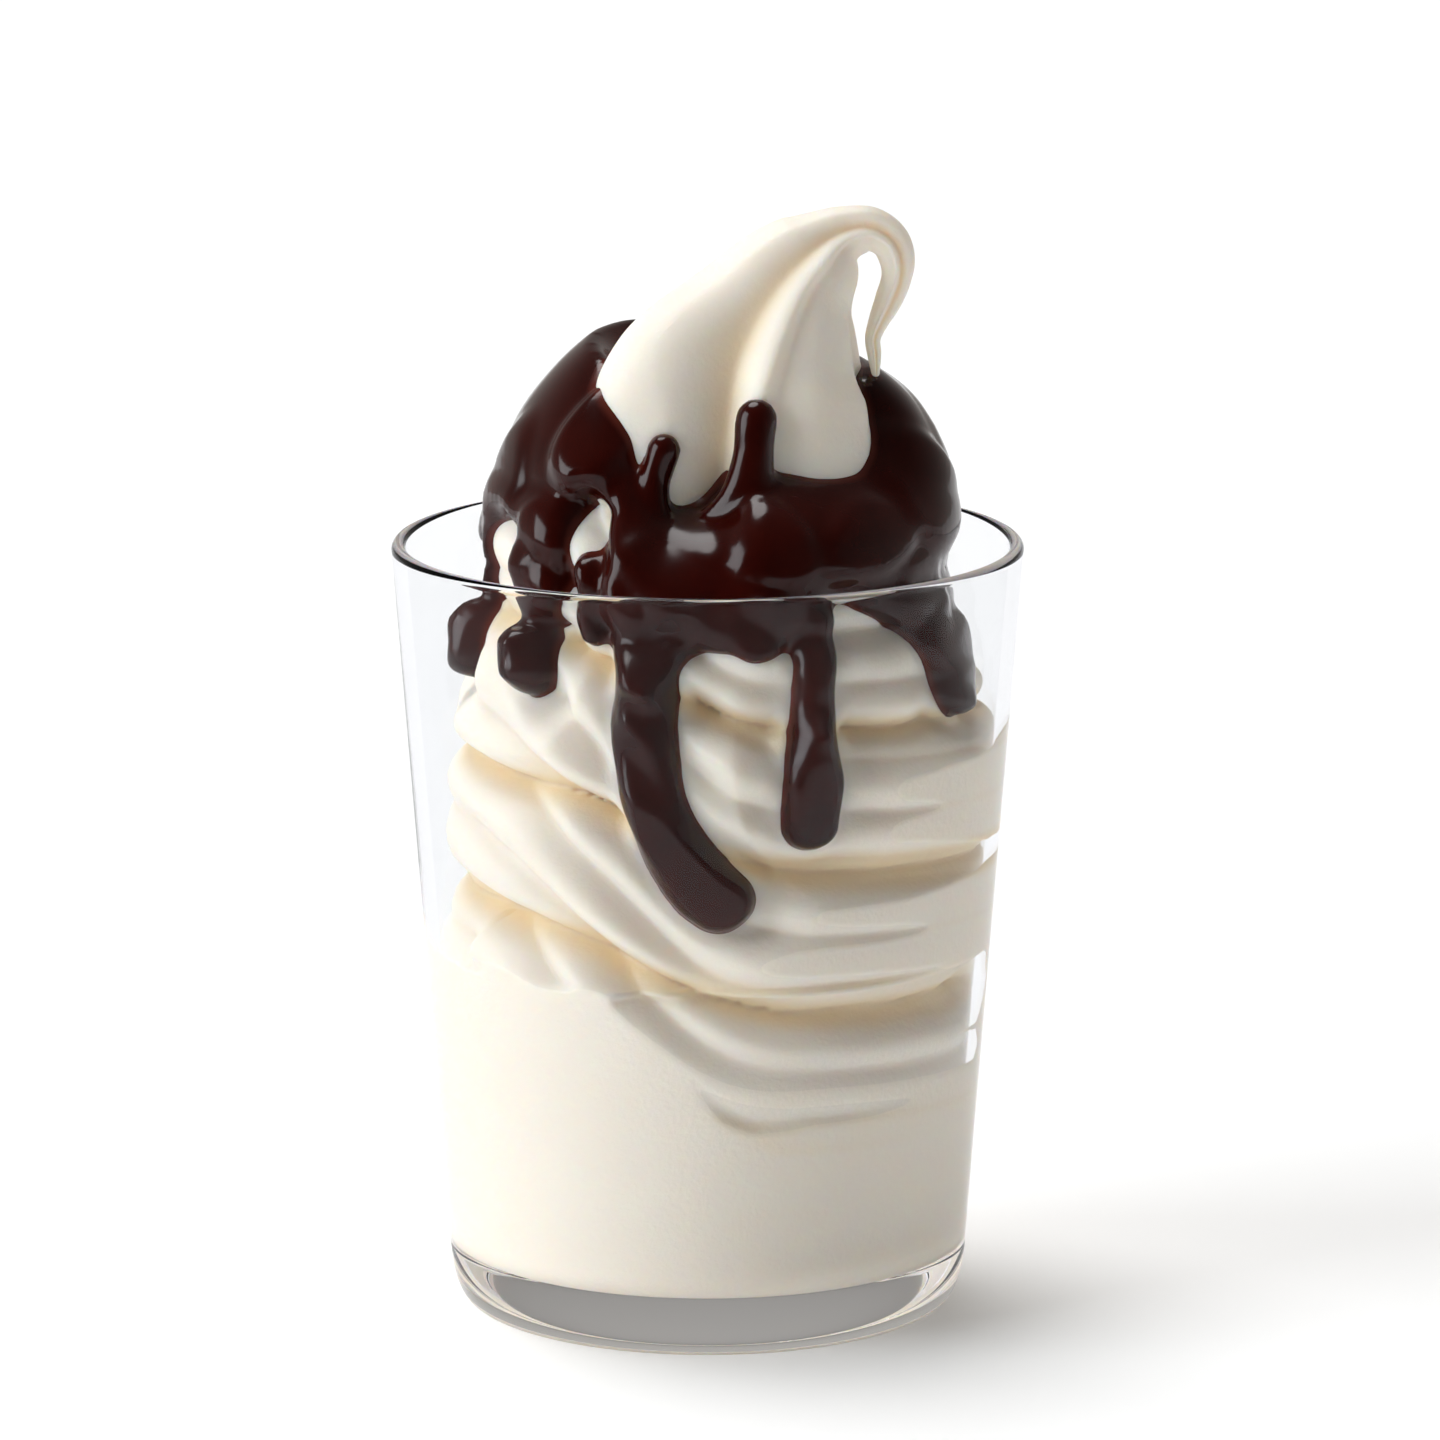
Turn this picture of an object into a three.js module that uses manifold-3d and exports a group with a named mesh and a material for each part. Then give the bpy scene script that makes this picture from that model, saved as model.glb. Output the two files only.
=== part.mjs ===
// Hot fudge sundae: vanilla soft serve piled in a clear tapered tumbler, with hot fudge poured
// over its top. Millimetres, +Z up, origin at the centre of the tumbler's foot. The side with
// the long runs of fudge faces -Y. An azimuth is in degrees, 0 at -Y and +90 at +X.
import * as THREE from 'three';
import { mergeVertices } from 'three/addons/utils/BufferGeometryUtils.js';
import Module from 'manifold-3d';

const wasm = await Module();
wasm.setup();

// ---------- Driving dimensions ----------

// Tumbler: a straight taper on a thick clear foot
const rimRadius = 44;
const glassHeight = 108;
const footRadius = 35.7; // the wall's outer radius, carried down to the table
const wallThickness = 2;
const floorThickness = 8;
const heelHeight = 8.6; // the rounded heel under the wall
const restingRadius = 33.2;
const innerCornerRadius = 4.5;
const glassSegments = 44;
const touchGap = 0.3; // between pieces that touch

// Soft serve: one thick rope wound up to the right, pressed to the wall in the lower half
const turnPitch = 19.4;
const firstCrevice = 79; // height of one crevice between turns, at the left
const leftAzimuth = -60; // the rope comes down across the front from here
const dropStart = 10; // degrees on from there
const dropEnd = 82;
const frontDrop = 11; // how far a turn comes down across the front
const creviceDepth = 4.4;
const frontCreviceDepth = 5.6; // at the left of the front
const ridgeDepth = 1.6; // grooves left along the rope by the star nozzle
const frontRidgeDepth = 2.9;
const backTwist = 0.67; // how far the star twists round the back, in ridges
const pressedHeight = 51; // below this the pile is flat on the wall, all but one hollow
const pressedPast = 6; // it would stand out this far if the wall weren't there, which fills its creases
const wallClearance = 0.42; // leaves the gap between two many-sided faces
const pileLean = 2; // the pile's middle stands this far to the right of the tumbler's axis
const domeLean = 0.8;
const domeStart = 100;
const domeRadius = 31.2;
const domeMiddle = 126;
const tipLobes = 8;
const tipRidgeAzimuth = -7; // one ridge of the star faces this way at the tip's foot
const tipLobeDepth = 0.15; // depth of the star's valleys, as a share of its radius
const tipForward = -1.5;
const tailRound = 0.4; // length of the tail's rounded end
const flareAzimuth = -62; // the tip's foot spreads out to this side
const flareReach = 6;
const footRound = 1.4; // rise of the pile's rounded foot

// Hot fudge
const fudgeThickness = 2.1;
const fudgeEdge = 0.4; // thickness at the cap's edge
const edgeRound = 0.18; // share of the cap's height over which it thickens
const edgeTuck = 1.2; // the cap's skin ends this deep in the pile, which is then cut away
const coreRadius = 14; // the cap's underside, all inside the pile
const coreHeight = 112;
const beadSunk = 0.6; // a run's middle line lies this deep
const bedDepth = 2.4; // the runs press the pile in, clear of the wall
const bedSpread = 8;
const capInnerShare = 0.93; // how far up the dome the poured cap reaches, under the tip

// Fineness of the faceted surfaces
const frontColumns = 42; // over the half that faces -Y
const backColumns = 24;
const sideRows = 20; // from the top of the pressed part to the dome
const pocketRow = 2.8; // height of a row beside the hollow
const tipSides = 32;
const tipSteps = 20;
const runSides = 8;

// ---------- Small helpers ----------

const radians = THREE.MathUtils.degToRad;

function smooth(low, high, value) {
  return THREE.MathUtils.smoothstep(value, low, high);
}

// A smooth curve through [position, value] pairs, read at one position.
function follow(pairs, position) {
  const last = pairs.length - 1;
  if (position <= pairs[0][0]) return pairs[0][1];
  if (position >= pairs[last][0]) return pairs[last][1];
  let i = 0;
  while (pairs[i + 1][0] < position) i += 1;
  const slope = (j) => {
    const before = pairs[Math.max(j - 1, 0)];
    const after = pairs[Math.min(j + 1, last)];
    return (after[1] - before[1]) / (after[0] - before[0]);
  };
  const [x0, y0] = pairs[i];
  const [x1, y1] = pairs[i + 1];
  const width = x1 - x0;
  const t = (position - x0) / width;
  const rise = y1 - y0;
  // Slopes are held back so that the curve never swings past its points.
  const held = (s) => (s * rise <= 0 ? 0 : Math.sign(s) * Math.min(Math.abs(s), 3 * Math.abs(rise) / width));
  const m0 = held(slope(i)) * width;
  const m1 = held(slope(i + 1)) * width;
  return y0 * (1 + 2 * t) * (1 - t) ** 2 + m0 * t * (1 - t) ** 2
    + y1 * t * t * (3 - 2 * t) + m1 * t * t * (t - 1);
}

// A point at an azimuth and a distance from the pile's own leaning axis.
function polar(azimuth, radius, height) {
  const angle = radians(azimuth);
  return new THREE.Vector3(
    leanAt(height) + radius * Math.sin(angle),
    -radius * Math.cos(angle),
    height,
  );
}

// One closed skin over rings of points, each ring seen anticlockwise from above; the two ends
// close on a point.
function skin(firstPoint, rings, lastPoint) {
  const count = rings[0].length;
  const points = [firstPoint, ...rings.flat(), lastPoint];
  const lastIndex = points.length - 1;
  const index = [];
  const at = (ring, i) => 1 + ring * count + (i % count);
  for (let i = 0; i < count; i += 1) {
    index.push(0, at(0, i + 1), at(0, i));
    index.push(lastIndex, at(rings.length - 1, i), at(rings.length - 1, i + 1));
  }
  for (let ring = 0; ring + 1 < rings.length; ring += 1) {
    for (let i = 0; i < count; i += 1) {
      index.push(at(ring, i), at(ring, i + 1), at(ring + 1, i));
      index.push(at(ring, i + 1), at(ring + 1, i + 1), at(ring + 1, i));
    }
  }
  const geometry = new THREE.BufferGeometry().setFromPoints(points);
  geometry.setIndex(index);
  return geometry;
}

// A closed mesh as a solid for joining and cutting.
function solidOf(source) {
  const geometry = source.clone();
  geometry.deleteAttribute('normal');
  geometry.deleteAttribute('uv');
  const merged = mergeVertices(geometry, 1e-4);
  const index = Array.from(merged.index.array);
  const whole = [];
  for (let i = 0; i < index.length; i += 3) {
    const [a, b, c] = index.slice(i, i + 3);
    if (a !== b && b !== c && c !== a) whole.push(a, b, c);
  }
  const solid = new wasm.Manifold(new wasm.Mesh({
    numProp: 3,
    vertProperties: new Float32Array(merged.attributes.position.array),
    triVerts: new Uint32Array(whole),
  }));
  if (solid.volume() <= 0) throw new Error('a skin is inside out');
  return solid;
}

function geometryOf(solid) {
  const mesh = solid.getMesh();
  const geometry = new THREE.BufferGeometry();
  geometry.setAttribute('position', new THREE.BufferAttribute(mesh.vertProperties, 3));
  geometry.setIndex(new THREE.BufferAttribute(mesh.triVerts, 1));
  geometry.computeVertexNormals();
  return geometry;
}

// ---------- Tumbler ----------

function outerWall(height) {
  return footRadius + (rimRadius - footRadius) * height / glassHeight;
}

function innerWall(height) {
  return outerWall(height) - wallThickness;
}

function arc(centreR, centreZ, radiusR, radiusZ, from, to, steps) {
  const points = [];
  for (let i = 0; i <= steps; i += 1) {
    const angle = radians(from + (to - from) * i / steps);
    points.push(new THREE.Vector2(
      centreR + radiusR * Math.cos(angle),
      centreZ + radiusZ * Math.sin(angle),
    ));
  }
  return points;
}

function tumbler() {
  const heelTop = outerWall(heelHeight);
  const lip = wallThickness / 2;
  const lipCentre = outerWall(glassHeight - lip) - lip;
  const cornerCentre = floorThickness + innerCornerRadius;
  const profile = [
    new THREE.Vector2(0, 0),
    ...arc(restingRadius, heelHeight, heelTop - restingRadius, heelHeight, -90, 0, 4),
    ...arc(lipCentre, glassHeight - lip, lip, lip, 0, 180, 4),
    ...arc(innerWall(cornerCentre) - innerCornerRadius, cornerCentre,
      innerCornerRadius, innerCornerRadius, 0, -90, 3),
    new THREE.Vector2(0, floorThickness),
  ];
  const geometry = new THREE.LatheGeometry(profile, glassSegments);
  geometry.rotateX(Math.PI / 2);
  return solidOf(geometry);
}

// ---------- Soft serve ----------

function leanAt(height) {
  return pileLean * smooth(45, 70, height) + (domeLean - pileLean) * smooth(88, 108, height);
}

// Degrees round from the left side, where the rope starts to come down across the front.
function roundFrom(azimuth) {
  return (azimuth - leftAzimuth + 360) % 360;
}

// How far the rope has come down since it left the left side, over one turn.
function dropAt(azimuth) {
  const round = roundFrom(azimuth);
  const overBack = Math.max(round - dropEnd, 0) / (360 - dropEnd);
  return frontDrop * smooth(dropStart, dropEnd, round) + (turnPitch - frontDrop) * overBack;
}

// How far the nozzle's star has twisted along the rope, in ridges. It turns twice across the
// front, so that the ridges there run down to the right faster than the rope itself.
function twistAt(azimuth, turn) {
  const round = roundFrom(azimuth);
  const front = round < 180 ? smooth(-12, 72, round) : 1 + smooth(-12, 72, round - 360);
  return 2 * front + backTwist * smooth(75, 340, round) + (1 - backTwist) * Math.max(turn, -1) + 0.13;
}

function ridgeSpacing(azimuth) {
  return 6.8 + 2.9 * smooth(-110, -70, azimuth) * (1 - smooth(-10, 30, azimuth));
}

// How far the surface is drawn in from the rope's crest line.
function reliefAt(azimuth, height) {
  const turns = (height - firstCrevice + dropAt(azimuth)) / turnPitch;
  const turn = Math.floor(turns);
  const across = turns - turn;
  const crevice = Math.abs(2 * across - 1) ** 3.4;
  const ridges = (across - 0.5) * turnPitch / ridgeSpacing(azimuth) + twistAt(azimuth, turn);
  const ridge = Math.sqrt(Math.sin(Math.PI * ridges) ** 2 + 0.02);
  const atFront = smooth(-85, -60, azimuth) * (1 - smooth(-10, 25, azimuth));
  const groove = THREE.MathUtils.lerp(ridgeDepth, frontRidgeDepth, atFront);
  return THREE.MathUtils.lerp(creviceDepth, frontCreviceDepth, atFront) * crevice
    + groove * (1 - ridge) * (1 - 0.5 * crevice);
}

// Runs of fudge below the cap. Each station is [azimuth, height, half width], with how far the
// run hangs off the pile there if it does; `out` is how far the fudge stands up all along.
const fudgeRuns = [
  { out: 2, stations: [[-72, 117, 3], [-76, 108, 1.9], [-80, 101.5, 2.2, 0.6], [-83, 97, 3.6, 2.6],
    [-85, 92.5, 3.4, 3.8]] },
  { out: 2.4, stations: [[-40, 119, 4.5], [-40.5, 111, 4.8], [-41.6, 105, 3.2], [-43.4, 99.5, 2.5],
    [-44.5, 94.5, 3.2]] },
  { out: 2, stations: [[-29.5, 114, 1.6], [-29.3, 107, 2.6], [-28.4, 102.5, 2.4]] },
  { out: 2.4, stations: [[-16.5, 101, 5.5], [-16.2, 96, 5], [-16, 90, 4.6], [-14.6, 83, 4.6], [-11.5, 76, 5],
    [-6.5, 69, 5.4], [-2.2, 65, 5.2]] },
  { out: 2.2, stations: [[20, 105, 3], [19.2, 98, 2.8], [18.8, 91, 3.2], [19.3, 84, 3.8], [19.9, 76.5, 3.9]] },
  { out: 2.2, stations: [[50, 101, 4.5], [54, 95, 4.6], [57.2, 90.5, 3.4]] },
  { out: 2.2, stations: [[92, 104, 3], [94, 98, 2.5], [95, 92, 3]] },
  { out: 2.3, stations: [[128, 104, 3.4], [130, 93, 3], [132, 80, 2.8], [134, 71, 3.6]] },
  { out: 2.2, stations: [[162, 107, 2.6], [163, 97, 2.4], [164, 91, 2.9]] },
  { out: 2.4, stations: [[-165, 106, 4.2], [-163, 96, 3.4], [-160, 84, 3.2], [-158, 76, 4]] },
  { out: 2.2, stations: [[-130, 104, 3], [-132, 95, 2.5], [-133, 88, 3.1]] },
  { out: 2, stations: [[-103, 108, 2.4], [-104, 99, 2.6]] },
];

// How far the pile is pressed in near the runs of fudge, where the wall leaves them little room.
function bedAt(azimuth, height) {
  let bed = 0;
  for (const { stations } of fudgeRuns) {
    for (let t = 0; t <= stations.length - 1; t += 0.5) {
      const [runAzimuth, runHeight, halfWidth] = [0, 1, 2].map(
        (value) => follow(stations.map((station, i) => [i, station[value]]), t));
      const aside = radians((azimuth - runAzimuth + 540) % 360 - 180) * domeRadius;
      const away = Math.hypot(aside, height - runHeight) - halfWidth;
      bed = Math.max(bed, 1 - smooth(0, bedSpread, away));
    }
  }
  return bedDepth * bed * (1 - smooth(90, 98, height));
}

// The hollow at the right of the front where the pile misses the wall: 1 inside it.
function pocketAt(azimuth, height) {
  const leftEdge = -26 + 34 * Math.max((52 - height) / 22, 0) ** 1.2;
  return smooth(leftEdge - 3, leftEdge + 7, azimuth) * (1 - smooth(76, 92, azimuth)) * smooth(28.5, 31, height);
}

// At the right the pile's middle swells out to the wall.
function swellAt(azimuth, height) {
  return 1.8 * smooth(40, 75, azimuth) * (1 - smooth(110, 145, azimuth))
    * smooth(51, 56, height) * (1 - smooth(82, 92, height));
}

const crestRadius = [
  [51, 40.5], [52.5, 38.6], [60, 38.4], [70, 38.7], [80, 39.1], [88, 37.6], [95, 34.6], [100, 32.2],
];
const shoulderHeight = [
  [-180, 137], [-135, 139], [-90, 138], [-60, 135.5], [-40, 131], [-22, 123], [-8, 117], [2, 117],
  [14, 121], [45, 121], [62, 123], [82, 132], [110, 134], [135, 135], [180, 137],
];
// How square the dome's shoulder is round the pile: it slopes at the left and stands up at the right.
const shoulderSquareness = [[-180, 3], [-120, 2.3], [-50, 2.3], [0, 3], [50, 3.6], [90, 4.5], [150, 3.2], [180, 3]];

// The pile's surface at an azimuth and a height below the dome.
function sidePoint(azimuth, height, grow) {
  const relief = reliefAt(azimuth, height);
  const pressed = height <= pressedHeight ? 1 - pocketAt(azimuth, height) : 0;
  const crest = height <= pressedHeight ? innerWall(height) + 0.2
    : follow(crestRadius, height) + swellAt(azimuth, height);
  const bed = bedAt(azimuth, height);
  return heldInside(polar(azimuth, crest + pressedPast * pressed - relief - bed + grow, height), grow);
}

// What would go through the tumbler's wall lies flat against it.
function heldInside(point, grow) {
  const reach = Math.hypot(point.x, point.y);
  const most = innerWall(Math.min(point.z, glassHeight)) - wallClearance + grow;
  if (reach > most && point.z < glassHeight + 4) {
    point.x *= most / reach;
    point.y *= most / reach;
  }
  return point;
}

// The dome's surface at an azimuth and a share of its height, 0 at its foot and 1 at its middle.
function domePoint(azimuth, share, grow) {
  const edgeTop = follow(shoulderHeight, azimuth) + 2;
  const top = THREE.MathUtils.lerp(edgeTop, domeMiddle, smooth(0.86, 1, share));
  const height = domeStart + (top - domeStart) * share;
  const relief = 0.8 * reliefAt(azimuth, height) * (1 - smooth(0.3, 0.9, share));
  const radius = domeRadius * Math.sqrt(Math.max(1 - share ** follow(shoulderSquareness, azimuth), 0));
  const outward = Math.sqrt(1 - smooth(0.1, 1, share) ** 2);
  return polar(azimuth, radius + (grow - relief) * outward, height + (grow - relief) * (1 - outward));
}

function columnAzimuths() {
  const azimuths = [];
  for (let i = 0; i < frontColumns; i += 1) azimuths.push(-90 + 180 * i / frontColumns);
  for (let i = 0; i < backColumns; i += 1) azimuths.push(90 + 180 * i / backColumns);
  return azimuths.map((azimuth) => (azimuth > 180 ? azimuth - 360 : azimuth));
}

// How far the rows of the pile's side are raised: they follow the rope down across the front,
// and climb back behind.
function rowRaise(azimuth) {
  const round = roundFrom(azimuth);
  const overBack = Math.max(round - dropEnd, 0) / (360 - dropEnd);
  return frontDrop * (0.45 - smooth(dropStart, dropEnd, round) + overBack);
}

function pileSkin(grow) {
  const foot = floorThickness + touchGap - grow;
  const azimuths = columnAzimuths();
  const rings = [
    azimuths.map((azimuth) => polar(azimuth, innerWall(0) - innerCornerRadius - wallClearance + grow, foot)),
    azimuths.map((azimuth) => polar(azimuth, innerWall(0) - 1.9 + grow, foot + footRound)),
  ];
  const low = [14, 21, 28.5];
  for (const height of low) rings.push(azimuths.map((azimuth) => sidePoint(azimuth, height, grow)));
  for (let height = 31; height < pressedHeight; height += pocketRow) {
    rings.push(azimuths.map((azimuth) => sidePoint(azimuth, height, grow)));
  }
  for (const height of [pressedHeight, pressedHeight + 1.5]) {
    rings.push(azimuths.map((azimuth) => sidePoint(azimuth, height, grow)));
  }
  const bottom = pressedHeight + 1.5;
  const span = domeStart - bottom;
  for (let row = 1; row < sideRows; row += 1) {
    const level = bottom + span * row / sideRows;
    const raised = smooth(0, 0.3, row / sideRows) * (1 - smooth(0.7, 1, row / sideRows));
    rings.push(azimuths.map((azimuth) => sidePoint(azimuth, level + rowRaise(azimuth) * raised, grow)));
  }
  for (const share of [0, 0.18, 0.38, 0.58, 0.76, 0.92]) {
    rings.push(azimuths.map((azimuth) => domePoint(azimuth, share, grow)));
  }
  return skin(new THREE.Vector3(0, 0, foot), rings, new THREE.Vector3(domeLean, 0, domeMiddle + grow));
}

// The tip: the nozzle's star drawn up to the right, over itself and down in a thin tail.
// Each station is [x, z, radius].
const tipStations = [
  [4.8, 111, 20.2], [5.2, 116, 20.2], [5.6, 121.5, 19.3], [6.1, 127.8, 18.1], [7.1, 133.4, 16.4],
  [8.9, 138.3, 13.5], [12, 144.2, 9.9], [15.5, 148.2, 7.2], [18.9, 151, 4.2], [22.6, 151.6, 3.2],
  [25.1, 150, 2.8], [26.1, 147.4, 2.5], [26, 144.9, 2.1], [24.9, 141.8, 1.9], [23.5, 138.7, 1.4],
  [22.8, 136.5, 1.1], [23, 134.3, 1], [23.2, 131.7, 0.6],
];

// How far the tip's star reaches from its middle line.
function tipReach(azimuth, height, radius) {
  const lobe = Math.abs(Math.cos(radians((azimuth - tipRidgeAzimuth) * tipLobes / 2)));
  const offFlare = (azimuth - flareAzimuth) / 26;
  const atFoot = (1 - smooth(129, 143, height)) * smooth(6, 12, radius);
  const flare = flareReach * Math.exp(-offFlare * offFlare) * atFoot;
  return radius * (1 - tipLobeDepth * (1 - lobe)) + flare;
}

function tipSkin(grow) {
  const spine = new THREE.CatmullRomCurve3(
    tipStations.map(([x, z]) => new THREE.Vector3(x, tipForward, z)), false, 'centripetal');
  const behind = new THREE.Vector3(0, 1, 0);
  const rings = [];
  for (let step = 0; step <= tipSteps; step += 1) {
    const share = step / tipSteps;
    const centre = spine.getPoint(share);
    const along = spine.getTangent(share);
    const right = new THREE.Vector3().crossVectors(behind, along).normalize();
    const station = share * (tipStations.length - 1);
    const radius = follow(tipStations.map(([, , value], i) => [i, value]), station);
    const ring = [];
    for (let side = 0; side < tipSides; side += 1) {
      const angle = 2 * Math.PI * side / tipSides;
      const azimuth = (THREE.MathUtils.radToDeg(angle) + 270) % 360 - 180;
      const reach = tipReach(azimuth, centre.z, radius) + grow;
      ring.push(centre.clone()
        .addScaledVector(right, reach * Math.cos(angle))
        .addScaledVector(behind, reach * Math.sin(angle)));
    }
    rings.push(ring);
  }
  const end = spine.getPoint(1).addScaledVector(spine.getTangent(1), tailRound + grow);
  return skin(spine.getPoint(0), rings, end);
}

function pileAndTip(grow) {
  return solidOf(pileSkin(grow)).add(solidOf(tipSkin(grow)));
}

// ---------- Hot fudge ----------

// A point on the tip's skin low down, where the tip still stands upright.
function tipPoint(azimuth, height, lift) {
  const middle = follow(tipStations.map(([x, z]) => [z, x]).slice(0, 6), height);
  const radius = follow(tipStations.map(([, z, value]) => [z, value]).slice(0, 6), height);
  const reach = tipReach(azimuth, height, radius) + lift;
  const angle = radians(azimuth);
  return new THREE.Vector3(middle + reach * Math.sin(angle), tipForward - reach * Math.cos(angle), height);
}

// Heights of the poured cap's lower edge round the pile. The runs below it are pieces of their own.
const capLowerEdge = [
  [-180, 103], [-160, 108], [-140, 101], [-120, 107], [-100, 106], [-86, 105], [-76, 108], [-64, 114],
  [-53, 116.5], [-44, 115], [-32, 121], [-28, 119.5], [-24, 104], [-12, 96], [-7, 98.3], [-1, 99.8],
  [5, 99.2], [10, 97.9], [17, 102], [26, 104.5], [34, 103.8], [40, 102.6], [46, 100.2], [51, 97.4],
  [62, 97], [75, 103], [96, 101], [118, 106], [140, 99], [160, 106], [180, 103],
];

function domeShare(azimuth, height) {
  return (height - domeStart) / (follow(shoulderHeight, azimuth) + 2 - domeStart);
}

// Where fudge lies at an azimuth and a height: the pile's skin, with its relief half filled.
function carrier(azimuth, height, lift) {
  if (height < domeStart) {
    const filled = 0.45 * reliefAt(azimuth, height);
    return sidePoint(azimuth, height, lift + filled);
  }
  return domePoint(azimuth, domeShare(azimuth, height), lift);
}

function capPoint(azimuth, row) {
  const edge = follow(capLowerEdge, azimuth);
  const top = domeStart + (follow(shoulderHeight, azimuth) + 2 - domeStart) * capInnerShare;
  const height = THREE.MathUtils.lerp(edge, top, Math.max(row, 0));
  const lift = row < 0 ? -edgeTuck : fudgeEdge + fudgeThickness * Math.sqrt(Math.min(row / edgeRound, 1));
  return heldInside(carrier(azimuth, height, lift), 0);
}

function capSkin() {
  const azimuths = columnAzimuths();
  const rows = [-1, 0, edgeRound / 3, edgeRound, 0.38, 0.6, 0.82, 1];
  const rings = rows.map((row) => azimuths.map((azimuth) => capPoint(azimuth, row)));
  const core = azimuths.map((azimuth) => polar(azimuth, coreRadius, coreHeight));
  const under = new THREE.Vector3(domeLean, 0, coreHeight - 1);
  return skin(under, [core, ...rings], new THREE.Vector3(domeLean, 0, domeMiddle));
}

// A run is a rounded bead, swept over the pile's skin from station to station.
function runSkin({ out, stations, surface = carrier }) {
  const azimuthAt = (t) => follow(stations.map((station, i) => [i, station[0]]), t);
  const heightAt = (t) => follow(stations.map((station, i) => [i, station[1]]), t);
  const widthAt = (t) => follow(stations.map((station, i) => [i, station[2]]), t);
  const hangAt = (t) => follow(stations.map((station, i) => [i, station[3] ?? 0]), t);
  const centreAt = (t) => surface(azimuthAt(t), heightAt(t), hangAt(t));
  const last = stations.length - 1;
  const steps = Math.max(last, 3);
  const rings = [];
  const ringAt = (t, shrink, push) => {
    const centre = centreAt(t);
    const along = centreAt(Math.min(t + 0.1, last)).sub(centreAt(Math.max(t - 0.1, 0))).normalize();
    const angle = radians(azimuthAt(t));
    const outward = new THREE.Vector3(Math.sin(angle), -Math.cos(angle), 0);
    outward.addScaledVector(along, -outward.dot(along)).normalize();
    const across = new THREE.Vector3().crossVectors(outward, along);
    const ring = [];
    for (let side = 0; side < runSides; side += 1) {
      const turn = 2 * Math.PI * side / runSides;
      const point = centre.clone()
        .addScaledVector(along, push)
        .addScaledVector(across, widthAt(t) * shrink * Math.cos(turn))
        .addScaledVector(outward, (out + beadSunk) * shrink * Math.sin(turn));
      ring.push(heldInside(point, 0));
    }
    return ring;
  };
  for (let step = 0; step <= steps; step += 1) rings.push(ringAt(last * step / steps, 1, 0));
  const bulb = widthAt(last);
  rings.push(ringAt(last, 0.8, bulb * 0.6));
  rings.push(ringAt(last, 0.45, bulb * 0.92));
  const along = centreAt(last).sub(centreAt(last - 0.1)).normalize();
  const end = heldInside(centreAt(last).addScaledVector(along, bulb * 1.02), 0);
  return skin(centreAt(0), rings, end);
}

// Tongues of fudge that stand up the tip: each station is [azimuth, height, half width].
const fudgeTongues = [
  { out: 2, surface: tipPoint, stations: [[2, 115, 6], [4, 119, 3.6], [5, 124, 2.8], [5, 128.4, 2.9]] },
  { out: 1.8, surface: tipPoint, stations: [[-24, 116, 4], [-23, 121, 1.8], [-22.5, 124.6, 2.2]] },
];

function hotFudge() {
  let fudge = solidOf(capSkin());
  for (const run of [...fudgeRuns, ...fudgeTongues]) fudge = fudge.add(solidOf(runSkin(run)));
  return fudge.subtract(pileAndTip(2 * touchGap));
}

const group = new THREE.Group();
group.name = 'hot_fudge_sundae';

function addPiece(name, solid, color, roughness, extra = {}) {
  const material = new THREE.MeshStandardMaterial({ color, roughness, metalness: 0, ...extra });
  const mesh = new THREE.Mesh(geometryOf(solid), material);
  mesh.name = name;
  group.add(mesh);
}

addPiece('glass_tumbler', tumbler(), 0xe4e8e8, 0.05, { transparent: true, opacity: 0.3 });
addPiece('soft_serve', pileAndTip(0), 0xf3ede1, 0.6);
addPiece('hot_fudge', hotFudge(), 0x35100c, 0.15);

export default group;
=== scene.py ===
# %% [markdown]
# # A hot fudge sundae, dressed around its CAD solids
#
# A clear tapered tumbler holds a thick rope of vanilla soft serve, wound up and drawn out to a
# curled tip, with hot fudge poured over its top. The CAD frame gives the true sizes. This
# script makes the three pieces again, far finer, and gives them glass, ice cream and fudge.
#
# Everything is worked out in millimetres and scaled to metres at the very end, because a
# glass wall of 2 mm is easier to think about than one of 0.002 m. An azimuth is in degrees:
# 0 faces -Y, where the camera stands, and +90 faces +X.

# %% The frame
from math import cos, radians, sin

import bpy
import numpy as np
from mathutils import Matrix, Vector
from mathutils.bvhtree import BVHTree


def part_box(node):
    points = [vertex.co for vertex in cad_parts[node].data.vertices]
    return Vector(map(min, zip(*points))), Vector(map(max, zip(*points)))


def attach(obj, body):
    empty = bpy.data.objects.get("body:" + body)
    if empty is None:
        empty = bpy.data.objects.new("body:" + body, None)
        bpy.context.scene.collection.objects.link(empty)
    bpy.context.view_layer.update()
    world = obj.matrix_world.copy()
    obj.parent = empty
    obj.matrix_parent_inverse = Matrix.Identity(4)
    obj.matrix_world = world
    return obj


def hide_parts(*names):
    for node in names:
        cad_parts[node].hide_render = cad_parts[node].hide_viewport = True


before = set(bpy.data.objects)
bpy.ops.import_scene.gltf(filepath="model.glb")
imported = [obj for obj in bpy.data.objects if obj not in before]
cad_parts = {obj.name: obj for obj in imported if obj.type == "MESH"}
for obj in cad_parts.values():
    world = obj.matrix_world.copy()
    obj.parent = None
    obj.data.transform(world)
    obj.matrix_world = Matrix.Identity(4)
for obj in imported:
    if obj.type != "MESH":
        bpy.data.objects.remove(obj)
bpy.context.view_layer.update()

MM = 0.001  # metres in a millimetre

# %% [markdown]
# ## The camera first
#
# A long lens from a little above the rim, as in a product photograph. The distance and the
# lens were fitted to the ellipses of the rim and the foot: a short lens would open the rim's
# ellipse more than the foot's. Making the camera first means that every piece can be looked at
# as soon as it exists.

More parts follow.
